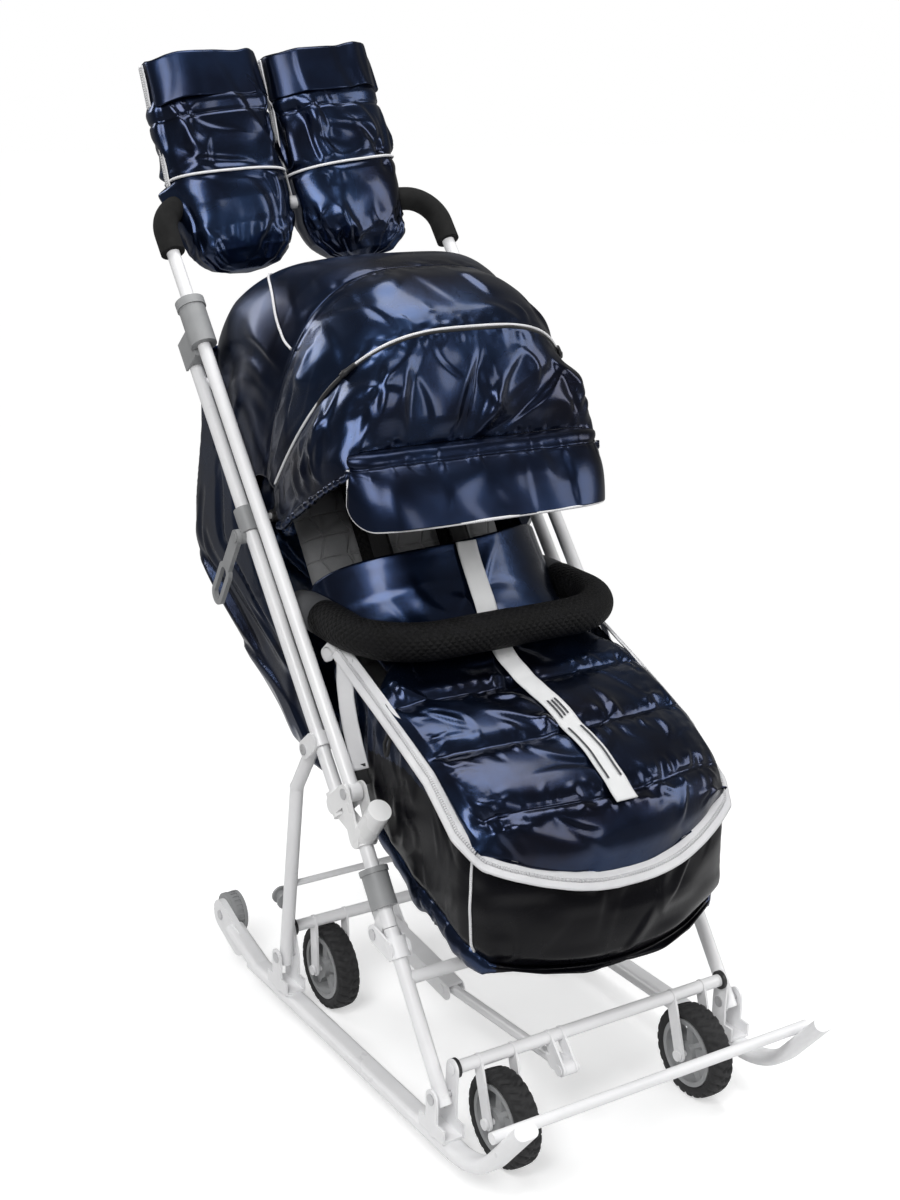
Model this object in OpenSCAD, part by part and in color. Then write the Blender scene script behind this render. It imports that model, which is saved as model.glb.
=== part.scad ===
/* [Base] */
// Outer diameter of the road wheels
wheel_d = 120; // [100:1:140]
// Width of a tyre
tyre_w = 32; // [24:1:36]
// Half the distance between left and right wheel centres
wheel_x = 145; // [130:1:155]
// Half the distance between the runner centre lines
side_x = 218; // [210:1:226]
// Width of a runner
runner_w = 30; // [29:0.5:31]
// Height of a runner
runner_h = 18; // [14:1:20]
// Height of the runner soles above the floor with the wheels down
sole_z = 36; // [30:1:40]
// Where the runner starts to curve up, ahead of the middle
curve_y = 230; // [220:1:240]
// Radius of the front curve
curve_r = 110; // [90:1:120]
// Angle of the front curve
curve_turn = 50; // [40:1:55]
// Length of the straight tip
tip_len = 85; // [70:1:95]
// Where the tail starts to rise, behind the middle
tail_y = 300; // [290:1:305]
// Place of the carry wheel bolt behind the middle
tail_bolt_y = 408; // [400:1:415]
// Height of the carry wheel bolt
tail_bolt_z = 73; // [68:1:76]
// Diameter of a carry wheel
carry_d = 60; // [50:1:64]
// Width of a carry wheel
carry_w = 22; // [16:1:22]
// Diameter of the bar across the tips
tip_bar_d = 14; // [12:0.5:16]

/* [Legs and frame] */
// Diameter of the frame tubes
tube_d = 18; // [17:0.5:18.5]
// Height of the leg pivots
pivot_z = 100; // [96:1:104]
// Front leg pivot ahead of the middle
front_pivot_y = 196; // [190:1:200]
// Rear leg pivot behind the middle
rear_pivot_y = 205; // [202:1:208]
// Slope of the front legs
leg_slope = 54.5; // [53:0.5:56]
// Distance from the front pivot to the knee along the leg
knee_s = 203; // [198:1:208]
// Distance of a hinge pin behind its tube
hinge_back = 25; // [24:0.5:26]
// Handle pivot behind the middle
handle_y = 12; // [8:1:16]
// Height of the handle pivot
handle_z = 408; // [404:1:412]
// Slope of the main tubes and the handle
frame_slope = 51; // [50:0.5:52]
// Distance of the main tubes behind the handle
frame_gap = 42; // [40:1:44]
// Length of the main tubes above the elbows
main_len = 660; // [640:1:680]
// How much longer the handle is than the main tubes
handle_more = 194; // [180:1:210]
// Radius of the handle corners
handle_bend = 45; // [40:1:60]
// Place of the rear leg hinges along the main tubes
cap_s = 83; // [78:1:88]
// Rear leg bend behind the middle
bend_y = 163; // [158:1:168]
// Height of the rear leg bend
bend_z = 361; // [356:1:366]
// Place of the recline clamps along the main tubes
clamp_s = 393; // [380:1:410]
// Reach of the recline levers
lever_len = 110; // [90:1:120]

/* [Wheel lift] */
// Height of the swing axles
axle_z = 132.6; // [130:0.2:134]
// Front swing axle ahead of the middle
front_axle_y = 198; // [195:1:201]
// Rear swing axle behind the middle
rear_axle_y = 216; // [213:1:219]
// Front wheel centres ahead of the front swing axle
front_lead = 22; // [15:1:25]
// Rear wheel centres ahead of the rear swing axle
rear_lead = 2; // [1:1:8]
// Diameter of the swing axles
axle_d = 16; // [14:0.5:17]
// Width of the flat arms
arm_w = 18; // [16:1:20]
// Link pin ahead of its swing axle
crank_y = 28; // [24:1:30]
// Link pin below its swing axle
crank_z = 30; // [28:1:32]
// Place of the link left of the middle
link_x = 60; // [55:1:65]
// Knee of the link behind the middle
link_knee_y = 40; // [30:1:50]
// Height of the knee of the link
link_knee_z = 86; // [82:1:90]

/* [Seat and cloth] */
// Half the width of the seat cloth
cloth_x = 202; // [196:1:203]
// Thickness of the cloth shells
cloth_t = 5; // [4:0.5:7]
// Half the width of the foot bag
bag_x = 188; // [180:1:192]
// Height of the foot bag at its front
bag_front_h = 115; // [105:1:122]
// Front of the foot bag ahead of the middle
bag_front_y = 262; // [255:1:270]
// Lowest edge of the foot bag
bag_low_z = 240; // [236:1:248]
// Diameter of the padded bumper
bumper_d = 48; // [40:1:50]
// Half the distance between the bumper arms
bumper_x = 180; // [172:1:182]
// Middle of the bumper front behind the middle
bumper_y = 8; // [0:1:16]
// Height of the bumper front
bumper_z = 583; // [578:1:590]
// Hood pivots behind the middle
hood_y = 290; // [285:1:295]
// Height of the hood pivots
hood_z = 690; // [685:1:695]
// Half the width of the hood
hood_x = 196; // [190:1:200]
// Radius of the hood at its top
hood_r = 327; // [315:1:335]
// Width of a mitt
mitt_w = 172; // [160:1:180]
// Height of a mitt
mitt_h = 300; // [270:1:320]
// Depth of a mitt
mitt_t = 92; // [80:1:100]

/* [Hidden] */

// small sizes that all follow the tube
fit = tube_d / 360;
gap = tube_d / 45;
over = tube_d / 9;
plate_t = tube_d / 6;
rivet_d = tube_d * 4 / 9;
head_d = tube_d * 7 / 9;
head_t = tube_d / 12;
tube_r = tube_d / 2;
ear_in = tube_r + tube_d / 12;
ear_r = tube_d * 2 / 3;
sleeve_d = 2 * (ear_in + plate_t + gap);
stub_fat = tube_d * 1.62;
flat_share = 0.996;
round_n = 64;
oval_n = 10;
soft_n = 24;

// directions and points in the side plane, as rearward and upward
function way(a) = [cos(a), sin(a)];
function behind(a) = [sin(a), -cos(a)];
function on_leg(s, b) = front_pivot + way(leg_slope) * s + behind(leg_slope) * b;
function on_main(s, b) = main_low + way(frame_slope) * s + behind(frame_slope) * b;
function on_handle(s, b) = handle_pivot + way(frame_slope) * s + behind(frame_slope) * b;
function on_hood(a, r) = hood_pivot + way(a) * r;
front_pivot = [-front_pivot_y, pivot_z];
rear_pivot = [rear_pivot_y, pivot_z];
handle_pivot = [handle_y, handle_z];
main_low = handle_pivot + behind(frame_slope) * frame_gap;
knee_pin = on_leg(knee_s, hinge_back);
cap_pin = on_main(cap_s, hinge_back);
rear_bend = [bend_y, bend_z];
hood_pivot = [hood_y, hood_z];
front_axle_at = [-front_axle_y, axle_z];
rear_axle_at = [rear_axle_y, axle_z];
wheel_r = wheel_d / 2;
front_wheel_at = [-front_axle_y - front_lead, wheel_r];
rear_wheel_at = [rear_axle_y - rear_lead, wheel_r];
crank = [-crank_y, -crank_z];
tail_bolt = [tail_bolt_y, tail_bolt_z];
runner_z = sole_z + runner_h / 2;
runner_top = sole_z + runner_h;
curve_end = [-curve_y - curve_r * sin(curve_turn), runner_z + curve_r * (1 - cos(curve_turn))];
tip_way = way(180 - curve_turn);
tip_bar_at = curve_end + tip_way * tip_len * 2 / 5
    + [sin(curve_turn), cos(curve_turn)] * (runner_h + tip_bar_d) / 2;
bracket_l = tube_d * 3;
bracket_x = runner_w / 2 - plate_t / 2;
bush_t = tube_d / 4;
axle_stop = side_x - runner_w / 2 - bush_t;
stub_d = axle_d * 5 / 8;
arm_gap = tyre_w * 3 / 4;
tyre_in = wheel_r * 0.73;
knob_z = pivot_z + (bend_z - pivot_z) * 0.31;
rod_share = 0.57;
leg_top_s = knee_s + tube_d * 6.3;
lock_s = knee_s + tube_d * 1.4;
lock_len = tube_d * 2.7;
lock_d = tube_d * 1.85;
handle_len = main_len + handle_more;
upper_lock_s = main_len - tube_d;
upper_lock_len = tube_d * 3.3;
grip_d = tube_d * 1.85;
grip_s = handle_len - tube_d * 4.2;
grip_in = tube_d * 3.6;
clamp_l = tube_d * 1.9;
clamp_d = tube_d * 1.5;
lever_t = tube_d / 3;
lever_x = side_x + clamp_d / 2 + gap + lever_t / 2 + plate_t / 2;
lever_pin = on_main(clamp_s - tube_d, tube_d * 0.35);
lever_slope = -56;
lever_end = lever_pin + way(lever_slope) * lever_len;
// outline of a mitt from its closed end to its cuff
mitt_lean = 18;
mitt_at_share = 0.35;
mitt_wide_shares = [0.50, 0.80, 0.93, 0.98, 1, 1, 0.98, 0.95, 0.92, 0.93, 0.88];
mitt_deep_shares = [0.35, 0.68, 0.90, 1, 1, 0.97, 0.93, 0.88, 0.86, 0.92, 0.80];
// middle of the whole length, which is put at the origin
front_most = curve_end[0] + tip_way[0] * tip_len - sin(curve_turn) * runner_h / 2;
mitt_last = len(mitt_deep_shares) - 1;
rear_most = on_handle(handle_len, 0)[0] + max([for (k = [0 : mitt_last])
    mitt_t / 2 * mitt_deep_shares[k] * cos(mitt_lean)
    + mitt_h * (k / mitt_last - mitt_at_share) * sin(mitt_lean)]);
middle_y = (front_most + rear_most) / 2;

// shared shapes
module placed() {
    translate([0, -middle_y, 0]) children();
}
module sided(s) {
    if (s < 0) mirror([1, 0, 0]) children();
    else children();
}
module both() {
    children();
    mirror([1, 0, 0]) children();
}
module on_side(x, t) {
    translate([x - t / 2, 0, 0]) rotate([90, 0, 90]) linear_extrude(t) children();
}
module bar2d(a, b, w) {
    d = b - a;
    flat = w * flat_share;
    translate(a) rotate(atan2(d[1], d[0])) {
        circle(d = w, $fn = round_n);
        translate([norm(d), 0]) circle(d = w, $fn = round_n);
        translate([0, -flat / 2]) square([norm(d), flat]);
    }
}
module pin(p, x0, x1, d) {
    translate([x0, p[0], p[1]]) rotate([0, 90, 0]) cylinder(d = d, h = x1 - x0, $fn = round_n);
}
module rod(x, p, q, d) {
    v = q - p;
    translate([x, p[0], p[1]]) rotate([atan2(v[1], v[0]) - 90, 0, 0])
        cylinder(d = d, h = norm(v), $fn = round_n);
}
module ball(x, p, d) {
    translate([x, p[0], p[1]]) sphere(d = d, $fn = round_n);
}
module rivet(p, x0, x1) {
    pin(p, x0, x1, rivet_d);
    pin(p, x0 - head_t, x0, head_d);
    pin(p, x1, x1 + head_t, head_d);
}
module oval(w, h) {
    polygon([for (e = [1, -1]) for (k = [0 : oval_n]) let (a = e * 90 - 180 * k / oval_n)
        [e * (w - h) / 2, 0] + h / 2 * [cos(a), sin(a)]]);
}
module ring(p, x, w, r_out, r_in) {
    difference() {
        pin(p, x - w / 2, x + w / 2, 2 * r_out);
        pin(p, x - w / 2 - over, x + w / 2 + over, 2 * r_in);
    }
}
// a closed solid through equal rings of points
module loft(rings, sheet = false) {
    n = len(rings[0]);
    m = len(rings);
    points = [for (r = rings) each r];
    walls = [for (j = [0 : m - 2]) for (i = [0 : n - 1]) each [
        [j * n + i, (j + 1) * n + i, (j + 1) * n + (i + 1) % n],
        [j * n + i, (j + 1) * n + (i + 1) % n, j * n + (i + 1) % n]]];
    low = sheet ? [for (i = [0 : n / 2 - 2]) each [[i, i + 1, n - 2 - i], [i, n - 2 - i, n - 1 - i]]]
        : [[for (i = [0 : n - 1]) i]];
    high = [for (f = low) [for (i = [len(f) - 1 : -1 : 0]) f[i] + (m - 1) * n]];
    polyhedron(points, concat(low, walls, high), convexity = 6);
}
function along(t, u) = t[0] + (t[1] - t[0]) * u;
function power(v, e) = sign(v) * pow(abs(v), e);

// base
module runner(s) {
    tail_slope = atan2(tail_bolt_z - runner_z, tail_bolt_y - tail_y);
    tail_len = (tail_bolt_y - carry_d * 0.62 - tail_y) / cos(tail_slope);
    tail_w = runner_h * 2.5;
    tail_share = 0.97;
    sided(s) difference() {
        union() {
            translate([side_x, tail_y, runner_z]) rotate([90, 0, 0])
                linear_extrude(tail_y + curve_y) oval(runner_w, runner_h);
            translate([side_x, -curve_y, runner_z + curve_r]) rotate([0, 90, 0]) rotate([0, 0, -curve_turn])
                rotate_extrude(angle = curve_turn, $fn = round_n)
                translate([curve_r, 0]) rotate(90) oval(runner_w, runner_h);
            translate([side_x, -curve_y, runner_z + curve_r]) rotate([-curve_turn, 0, 0])
                translate([0, 0, -curve_r]) rotate([90, 0, 0])
                linear_extrude(tip_len) oval(runner_w, runner_h);
            translate([side_x, tail_y - runner_h, runner_z]) rotate([tail_slope - 90, 0, 0])
                linear_extrude(tail_len + runner_h) oval(runner_w * tail_share, runner_h * tail_share);
            on_side(side_x, plate_t * 3)
                bar2d([tail_y + tail_len * 0.8, runner_z + tail_w * 0.2], tail_bolt, tail_w);
        }
        pin(tail_bolt, side_x - runner_w, side_x + runner_w, rivet_d + 2 * fit);
    }
}
module tip_bar() {
    reach = side_x + runner_w / 2;
    pin(tip_bar_at, -reach, reach, tip_bar_d);
}
module bracket(s, pivot, axle) {
    foot = [pivot[0], runner_top + tube_d / 2];
    sided(s) difference() {
        union() {
            on_side(side_x + bracket_x, plate_t) {
                bar2d(foot, pivot, ear_r * 2);
                translate([pivot[0] - bracket_l / 2, runner_top]) square([bracket_l, tube_d]);
            }
            on_side(side_x - bracket_x, plate_t) {
                bar2d(foot, pivot, ear_r * 2);
                bar2d(pivot, axle, ear_r * 2);
                translate([pivot[0] - bracket_l / 2, runner_top]) square([bracket_l, tube_d]);
            }
            translate([side_x - runner_w / 2, pivot[0] - bracket_l / 2, runner_top])
                cube([runner_w, bracket_l, plate_t]);
        }
        pin(pivot, side_x - runner_w, side_x + runner_w, rivet_d + 2 * fit);
        pin(axle, side_x - runner_w, side_x, stub_d + 2 * gap);
    }
}
module base_bolts() {
    ear_out = side_x + runner_w / 2 + fit;
    ear_low = side_x - runner_w / 2 - fit;
    wheel_in = side_x - plate_t * 1.5 - gap - carry_w;
    both() {
        for (p = [front_pivot, rear_pivot]) rivet(p, ear_low, ear_out);
        rivet(tail_bolt, wheel_in - gap, side_x + plate_t * 1.5 + fit);
    }
}
module axle_bushings() {
    both() for (p = [front_axle_at, rear_axle_at])
        ring(p, side_x - runner_w / 2 - bush_t / 2, bush_t - 2 * fit, axle_d * 0.75, stub_d / 2 + fit);
}

// swing axles and wheels
module swing_axle(axle, wheel, crank_in) {
    hub_in = wheel_x - arm_gap;
    hub_out = wheel_x + arm_gap;
    stub_end = side_x - runner_w / 2 + plate_t + gap;
    pin(axle, -axle_stop + gap, axle_stop - gap, axle_d);
    both() {
        pin(axle, 0, stub_end, stub_d);
        pin(axle, stub_end, stub_end + head_t, stub_d * 1.4);
        for (x = [hub_in, hub_out]) on_side(x, plate_t) bar2d(axle, wheel, arm_w);
        pin(wheel, hub_in - plate_t * 1.5, hub_out + plate_t * 1.5, rivet_d);
        for (x = [hub_in - plate_t * 2, hub_out + plate_t]) pin(wheel, x, x + plate_t, head_d);
    }
    for (e = [-1, 1]) on_side(-link_x + e * crank_in, plate_t) bar2d(axle, axle + crank, arm_w);
    rivet(axle + crank, -link_x - crank_in - plate_t, -link_x + crank_in + plate_t);
}
clevis_front = tube_d / 2;
clevis_rear = tube_d * 0.9;
module lift_tube() {
    front = front_axle_at + crank;
    knee = [link_knee_y, link_knee_z];
    v = (knee - front) / norm(knee - front);
    eye_t = clevis_front * 2 - plate_t - 2 * gap;
    side = channel_w / 2 + fit;
    difference() {
        union() {
            rod(-link_x, front + v * tube_d * 0.8, knee + v * tube_d * 0.7, link_d);
            on_side(-link_x, eye_t) bar2d(front, front + v * tube_d * 1.2, arm_w);
        }
        pin(front, -link_x - tube_d, -link_x + tube_d, rivet_d + 2 * fit);
    }
    pin(knee, -link_x - side, -link_x + side, rivet_d * 0.75);
    for (e = [-1, 1]) pin(knee, -link_x + e * (side + head_t / 2) - head_t / 2,
        -link_x + e * (side + head_t / 2) + head_t / 2, head_d);
}
link_d = tube_d * 7 / 9;
channel_w = tube_d * 1.4;
channel_t = tube_d / 9;
module lift_channel() {
    knee = [link_knee_y, link_knee_z];
    rear = rear_axle_at + crank;
    v = (rear - knee) / norm(rear - knee);
    n = [-v[1], v[0]];
    low = knee - v * tube_d * 0.45;
    high = rear + v * tube_d * 0.7;
    w = tube_d * 1.3;
    difference() {
        on_side(-link_x, channel_w) bar2d(low, high, w);
        on_side(-link_x, channel_w - 2 * channel_t) translate(-n * (channel_t + w / 5))
            bar2d(low - v * w, high + v * w, w * 1.4 + gap);
        pin(knee, -link_x - channel_w, -link_x + channel_w, rivet_d * 0.75 + 2 * fit);
        pin(rear, -link_x - channel_w, -link_x + channel_w, rivet_d + 2 * fit);
    }
}
module tyre(s, wheel) {
    crown = tyre_w / 4;
    groove = tyre_w / 16;
    sided(s) translate([wheel_x, wheel[0], wheel[1]]) rotate([0, 90, 0]) rotate_extrude($fn = round_n * 2)
        difference() {
            union() {
                translate([tyre_in, -tyre_w / 2 + crown]) square([wheel_r - tyre_in, tyre_w - 2 * crown]);
                translate([tyre_in, -tyre_w / 2]) square([wheel_r - tyre_in - crown, tyre_w]);
                for (e = [-1, 1]) translate([wheel_r - crown, e * (tyre_w / 2 - crown)])
                    circle(r = crown, $fn = round_n);
            }
            for (e = [-1, 1]) translate([wheel_r - groove, e * tyre_w / 8 - groove / 2])
                square([over, groove]);
        }
}
module hub(s, wheel) {
    rim = tyre_in - fit;
    rim_t = rim * 0.14;
    core = rim * 0.32;
    w = tyre_w * 0.94;
    spoke_w = rim * 0.26;
    sided(s) difference() {
        union() {
            ring(wheel, wheel_x, w, rim, rim - rim_t);
            pin(wheel, wheel_x - tyre_w / 2, wheel_x + tyre_w / 2, core * 2);
            for (k = [0 : 4]) translate([wheel_x, wheel[0], wheel[1]]) rotate([k * 72, 0, 0])
                translate([-w * 0.3, -spoke_w / 2, 0]) cube([w * 0.6, spoke_w, rim - rim_t / 2]);
        }
        pin(wheel, 0, side_x, rivet_d + 2 * fit);
    }
}
module carry_wheel(s) {
    x = side_x - plate_t * 1.5 - gap - carry_w / 2;
    rib_n = 24;
    rib = carry_d / 30;
    sided(s) difference() {
        union() {
            pin(tail_bolt, x - carry_w / 2, x + carry_w / 2, carry_d - 2 * rib);
            for (e = [-1, 1]) let (mid = x + e * carry_w / 3)
                pin(tail_bolt, mid - carry_w / 8, mid + carry_w / 8, carry_d);
            for (k = [0 : rib_n - 1])
                translate([x, tail_bolt[0], tail_bolt[1]]) rotate([k * 360 / rib_n, 0, 0])
                translate([-carry_w / 3, -rib / 2, carry_d / 3])
                cube([carry_w * 2 / 3, rib, carry_d / 6 - rib / 4]);
        }
        pin(tail_bolt, x - carry_w, x + carry_w, rivet_d + 2 * fit);
    }
}

// legs
module front_legs() {
    cross = on_leg(knee_s * 0.69, 0);
    difference() {
        union() {
            both() {
                rod(side_x, on_leg(-ear_r, 0), on_leg(knee_s - gap, 0), tube_d);
                rod(side_x, on_leg(knee_s - tube_d * 2.1, 0), on_leg(knee_s - tube_d * 0.7, 0), sleeve_d);
                for (e = [-1, 1]) on_side(side_x + e * (ear_in + plate_t / 2), plate_t)
                    bar2d(on_leg(knee_s - tube_d * 1.4, 0), knee_pin, ear_r * 2);
            }
            pin(cross, -side_x, side_x, tube_d * 0.9);
        }
        both() {
            pin(front_pivot, side_x - runner_w, side_x + runner_w, rivet_d + 2 * fit);
            pin(knee_pin, side_x - runner_w, side_x + runner_w, rivet_d + 2 * fit);
        }
    }
}
module rear_legs() {
    v = (cap_pin - rear_bend) / norm(cap_pin - rear_bend);
    u = (rear_pivot - rear_bend) / norm(rear_pivot - rear_bend);
    rod_at = rear_bend + (rear_pivot - rear_bend) * rod_share;
    difference() {
        union() {
            both() {
                rod(side_x, rear_bend, cap_pin + v * ear_r * 0.7, tube_d);
                ball(side_x, rear_bend, tube_d * 1.06);
                rod(side_x, rear_bend, rear_pivot + u * ear_r, tube_d);
            }
            pin(rod_at, -side_x, side_x, tube_d / 2);
        }
        both() pin(rear_pivot, side_x - runner_w, side_x + runner_w, rivet_d + 2 * fit);
    }
}
module fold_knobs() {
    y = rear_pivot_y + (bend_y - rear_pivot_y) * (knob_z - pivot_z) / (bend_z - pivot_z);
    knob_d = tube_d * 1.4;
    tilt = atan2(rear_pivot_y - bend_y, bend_z - pivot_z);
    both() translate([side_x, y, knob_z]) rotate([tilt - 90, 0, 0]) translate([0, 0, tube_r + fit]) {
        cylinder(d = knob_d, h = plate_t, $fn = round_n);
        cylinder(d = knob_d * 0.6, h = plate_t * 6, $fn = round_n);
        translate([0, 0, plate_t * 5]) cylinder(d = knob_d, h = plate_t, $fn = round_n);
    }
}

// back frame
module back_frame() {
    cross = on_main(main_len - tube_d * 3.4, 0);
    both() difference() {
        union() {
            rod(side_x, on_main(-tube_d * 0.3, 0), on_main(main_len, 0), tube_d);
            rod(side_x, on_main(cap_s - tube_r, 0), on_main(cap_s + tube_r, 0), sleeve_d);
            for (e = [-1, 1]) on_side(side_x + e * (ear_in + plate_t / 2), plate_t)
                bar2d(on_main(cap_s, 0), cap_pin, ear_r * 2);
        }
        pin(cap_pin, side_x - runner_w, side_x + runner_w, rivet_d + 2 * fit);
    }
    pin(cross, -side_x, side_x, tube_d * 0.9);
    both() pin(hood_pivot, hood_x - bow_step * 4.6, side_x, rivet_d);
}
module elbow(s) {
    leg_end = on_leg(leg_top_s, 0);
    stub_way = way(180 - frame_slope);
    sided(s) difference() {
        union() {
            rod(side_x, on_leg(leg_top_s - tube_d * 0.6, 0), on_leg(leg_top_s + tube_d * 0.8, 0), sleeve_d);
            rod(side_x, on_main(-tube_d * 0.9, 0), on_main(tube_d * 0.9, 0), sleeve_d);
            on_side(side_x, tube_d * 0.9)
                bar2d(on_leg(leg_top_s + tube_r * 0.4, 0), on_main(-tube_d * 0.5, 0), tube_d * 0.9);
            for (e = [-1, 1]) on_side(side_x + e * (ear_in + plate_t / 2), plate_t) {
                bar2d(leg_end, handle_pivot, ear_r * 2);
                bar2d(on_main(0, 0), handle_pivot, ear_r * 2);
            }
            rod(side_x, leg_end - stub_way * tube_d * 0.3, leg_end + stub_way * tube_d * 3.6, stub_fat);
        }
        rod(side_x, on_main(-tube_d * 0.3, 0), on_main(tube_d * 3, 0), tube_d + 2 * fit);
        rod(side_x, on_leg(leg_top_s - tube_d, 0), on_leg(leg_top_s + tube_r, 0), tube_d + 2 * fit);
        on_side(side_x, 2 * ear_in) bar2d(handle_pivot, on_handle(tube_d * 4, 0), 2 * (ear_r + gap));
        pin(handle_pivot, side_x - runner_w, side_x + runner_w, rivet_d + 2 * fit);
    }
}
module upper_leg(s) {
    sided(s) difference() {
        union() {
            rod(side_x, on_leg(knee_s + gap, 0), on_leg(leg_top_s + tube_r - gap, 0), tube_d);
            on_side(side_x, tube_d * 0.9)
                bar2d(on_leg(knee_s + tube_d * 0.7, tube_r * 0.6), knee_pin, tube_d);
        }
        pin(knee_pin, side_x - runner_w, side_x + runner_w, rivet_d + 2 * fit);
        rod(side_x, on_leg(knee_s - tube_d * 2.5, 0), on_leg(knee_s, 0), tube_d + 2 * gap);
    }
}
module frame_rivets() {
    ear_out = side_x + ear_in + plate_t + fit;
    ear_low = side_x - ear_in - plate_t - fit;
    both() {
        for (p = [knee_pin, handle_pivot]) rivet(p, ear_low, ear_out);
        pin(cap_pin, ear_low - head_t, ear_low, head_d);
        pin(cap_pin, ear_low, ear_low + plate_t, rivet_d);
        pin(cap_pin, ear_out, ear_out + head_t, head_d);
        pin(cap_pin, ear_out - plate_t, ear_out, rivet_d);
    }
}
module leg_lock(s) {
    sided(s) difference() {
        union() {
            rod(side_x, on_leg(lock_s, 0), on_leg(lock_s + lock_len, 0), lock_d);
            rod(side_x, on_leg(lock_s + lock_len * 0.86, 0), on_leg(lock_s + lock_len, 0), lock_d * 1.1);
        }
        rod(side_x, on_leg(lock_s - over, 0), on_leg(lock_s + lock_len + over, 0), tube_d + 2 * fit);
    }
}
module recline_clamp(s) {
    boss = tube_d * 1.1;
    sided(s) difference() {
        union() {
            rod(side_x, on_main(clamp_s - clamp_l / 2, 0), on_main(clamp_s + clamp_l / 2, 0), clamp_d);
            pin(lever_pin, side_x, lever_x - lever_t / 2 - gap, boss);
            pin(lever_pin, side_x, lever_x + lever_t / 2 + fit, rivet_d);
            pin(lever_pin, lever_x + lever_t / 2 + fit, lever_x + lever_t / 2 + fit + head_t, head_d);
        }
        rod(side_x, on_main(clamp_s - clamp_l, 0), on_main(clamp_s + clamp_l, 0), tube_d + 2 * fit);
        pin(hood_pivot, 0, side_x, rivet_d + 2 * gap);
    }
}
module recline_lever(s) {
    loop_w = tube_d * 1.7;
    mid = lever_pin + way(lever_slope) * lever_len * 0.62;
    sided(s) on_side(lever_x, lever_t) difference() {
        union() {
            bar2d(lever_pin, lever_end, tube_d * 1.1);
            bar2d(mid, lever_end, loop_w);
        }
        bar2d(mid, lever_end, loop_w * 0.5);
        translate(lever_pin) circle(d = rivet_d + 2 * fit, $fn = round_n);
    }
}

// handle
module handle_path(d, s0, x_in) {
    straight = handle_len - handle_bend;
    translate([0, handle_y, handle_z]) rotate([frame_slope - 90, 0, 0]) both() {
        translate([side_x, 0, s0]) cylinder(d = d, h = straight - s0, $fn = round_n);
        translate([side_x - handle_bend, 0, straight]) rotate([90, 0, 0])
            rotate_extrude(angle = 90, $fn = round_n)
            translate([handle_bend, 0]) circle(d = d, $fn = round_n);
        translate([x_in, 0, handle_len]) rotate([0, 90, 0])
            cylinder(d = d, h = side_x - handle_bend - x_in, $fn = round_n);
    }
}
module handle_bar() {
    difference() {
        union() {
            handle_path(tube_d, 0, 0);
            both() on_side(side_x, tube_d * 0.8)
                translate(handle_pivot) circle(r = ear_r - gap, $fn = round_n);
        }
        both() pin(handle_pivot, side_x - runner_w, side_x + runner_w, rivet_d + 2 * fit);
    }
}
module grips() {
    difference() {
        handle_path(grip_d, grip_s, side_x - handle_bend - grip_in * 0.4);
        handle_path(tube_d + 2 * fit, grip_s - over, 0);
    }
}
module mitt(s) {
    n = len(mitt_wide_shares);
    bar = on_handle(handle_len, 0);
    difference() {
        translate([s * mitt_w * 0.52, bar[0], bar[1]]) rotate([-mitt_lean, 0, 0])
            loft([for (k = [0 : n - 1]) [for (i = [0 : soft_n - 1])
                [mitt_w / 2 * mitt_wide_shares[k] * power(cos(i * 360 / soft_n), 0.8),
                 mitt_t / 2 * mitt_deep_shares[k] * power(sin(i * 360 / soft_n), 0.8),
                 mitt_h * (k / (n - 1) - mitt_at_share)]]]);
        handle_path(grip_d + 2 * gap, grip_s - over, 0);
    }
}
module handle_lock(s) {
    cheek = tube_r + gap;
    low = upper_lock_s - tube_d;
    top = main_len + gap + tube_d / 4;
    deep = frame_gap + tube_r * 0.8;
    lock_top = on_handle(upper_lock_s + upper_lock_len, 0);
    sided(s) difference() {
        union() {
            rod(side_x, on_handle(upper_lock_s - tube_r, 0), lock_top, tube_d * 2);
            rod(side_x, on_handle(upper_lock_s + upper_lock_len * 0.8, 0), lock_top, tube_d * 2.2);
            on_side(side_x, 2 * (cheek + plate_t)) polygon([on_handle(low, tube_r), on_handle(low, deep),
                on_handle(top, deep), on_handle(top, tube_r)]);
        }
        on_side(side_x, 2 * cheek)
            polygon([on_handle(low - over, frame_gap - tube_r - gap), on_handle(low - over, deep + over),
                on_handle(main_len + gap, deep + over), on_handle(main_len + gap, frame_gap - tube_r - gap)]);
        rod(side_x, on_handle(low - over, 0), on_handle(main_len + upper_lock_len * 2, 0), tube_d + 2 * fit);
    }
}

// seat
pad_t = tube_d * 1.7;
pad_x = cloth_x * 0.76;
seat_front = [-tube_d * 4.4, handle_z - tube_d * 0.71];
seat_rear = [tube_d * 5.19, handle_z - tube_d * 0.71];
back_low = seat_rear + [tube_d * 1.11, tube_d * 0.81];
back_slope = 56;
back_len = main_len - tube_d * 12.7;
module channel_pad(p, a, l, t, x, n) {
    step = l / n;
    on_side(0, 2 * x) translate(p) rotate(a) difference() {
        union() {
            translate([0, t * 0.1]) square([l, t * 0.8]);
            for (k = [0 : n - 1])
                translate([step * (k + 0.5), t / 2]) circle(r = step * 0.51, $fn = round_n);
        }
        translate([-l, t]) square([3 * l, l]);
        translate([-l, -l]) square([3 * l, l]);
        translate([-l, -l]) square([l, 3 * l]);
        translate([l, -l]) square([l, 3 * l]);
    }
}
module seat_pad() {
    channel_pad(seat_front, 0, seat_rear[0] - seat_front[0], pad_t, pad_x, 4);
}
module backrest_pad() {
    channel_pad(back_low, back_slope, back_len, pad_t, pad_x, 9);
}
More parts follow.
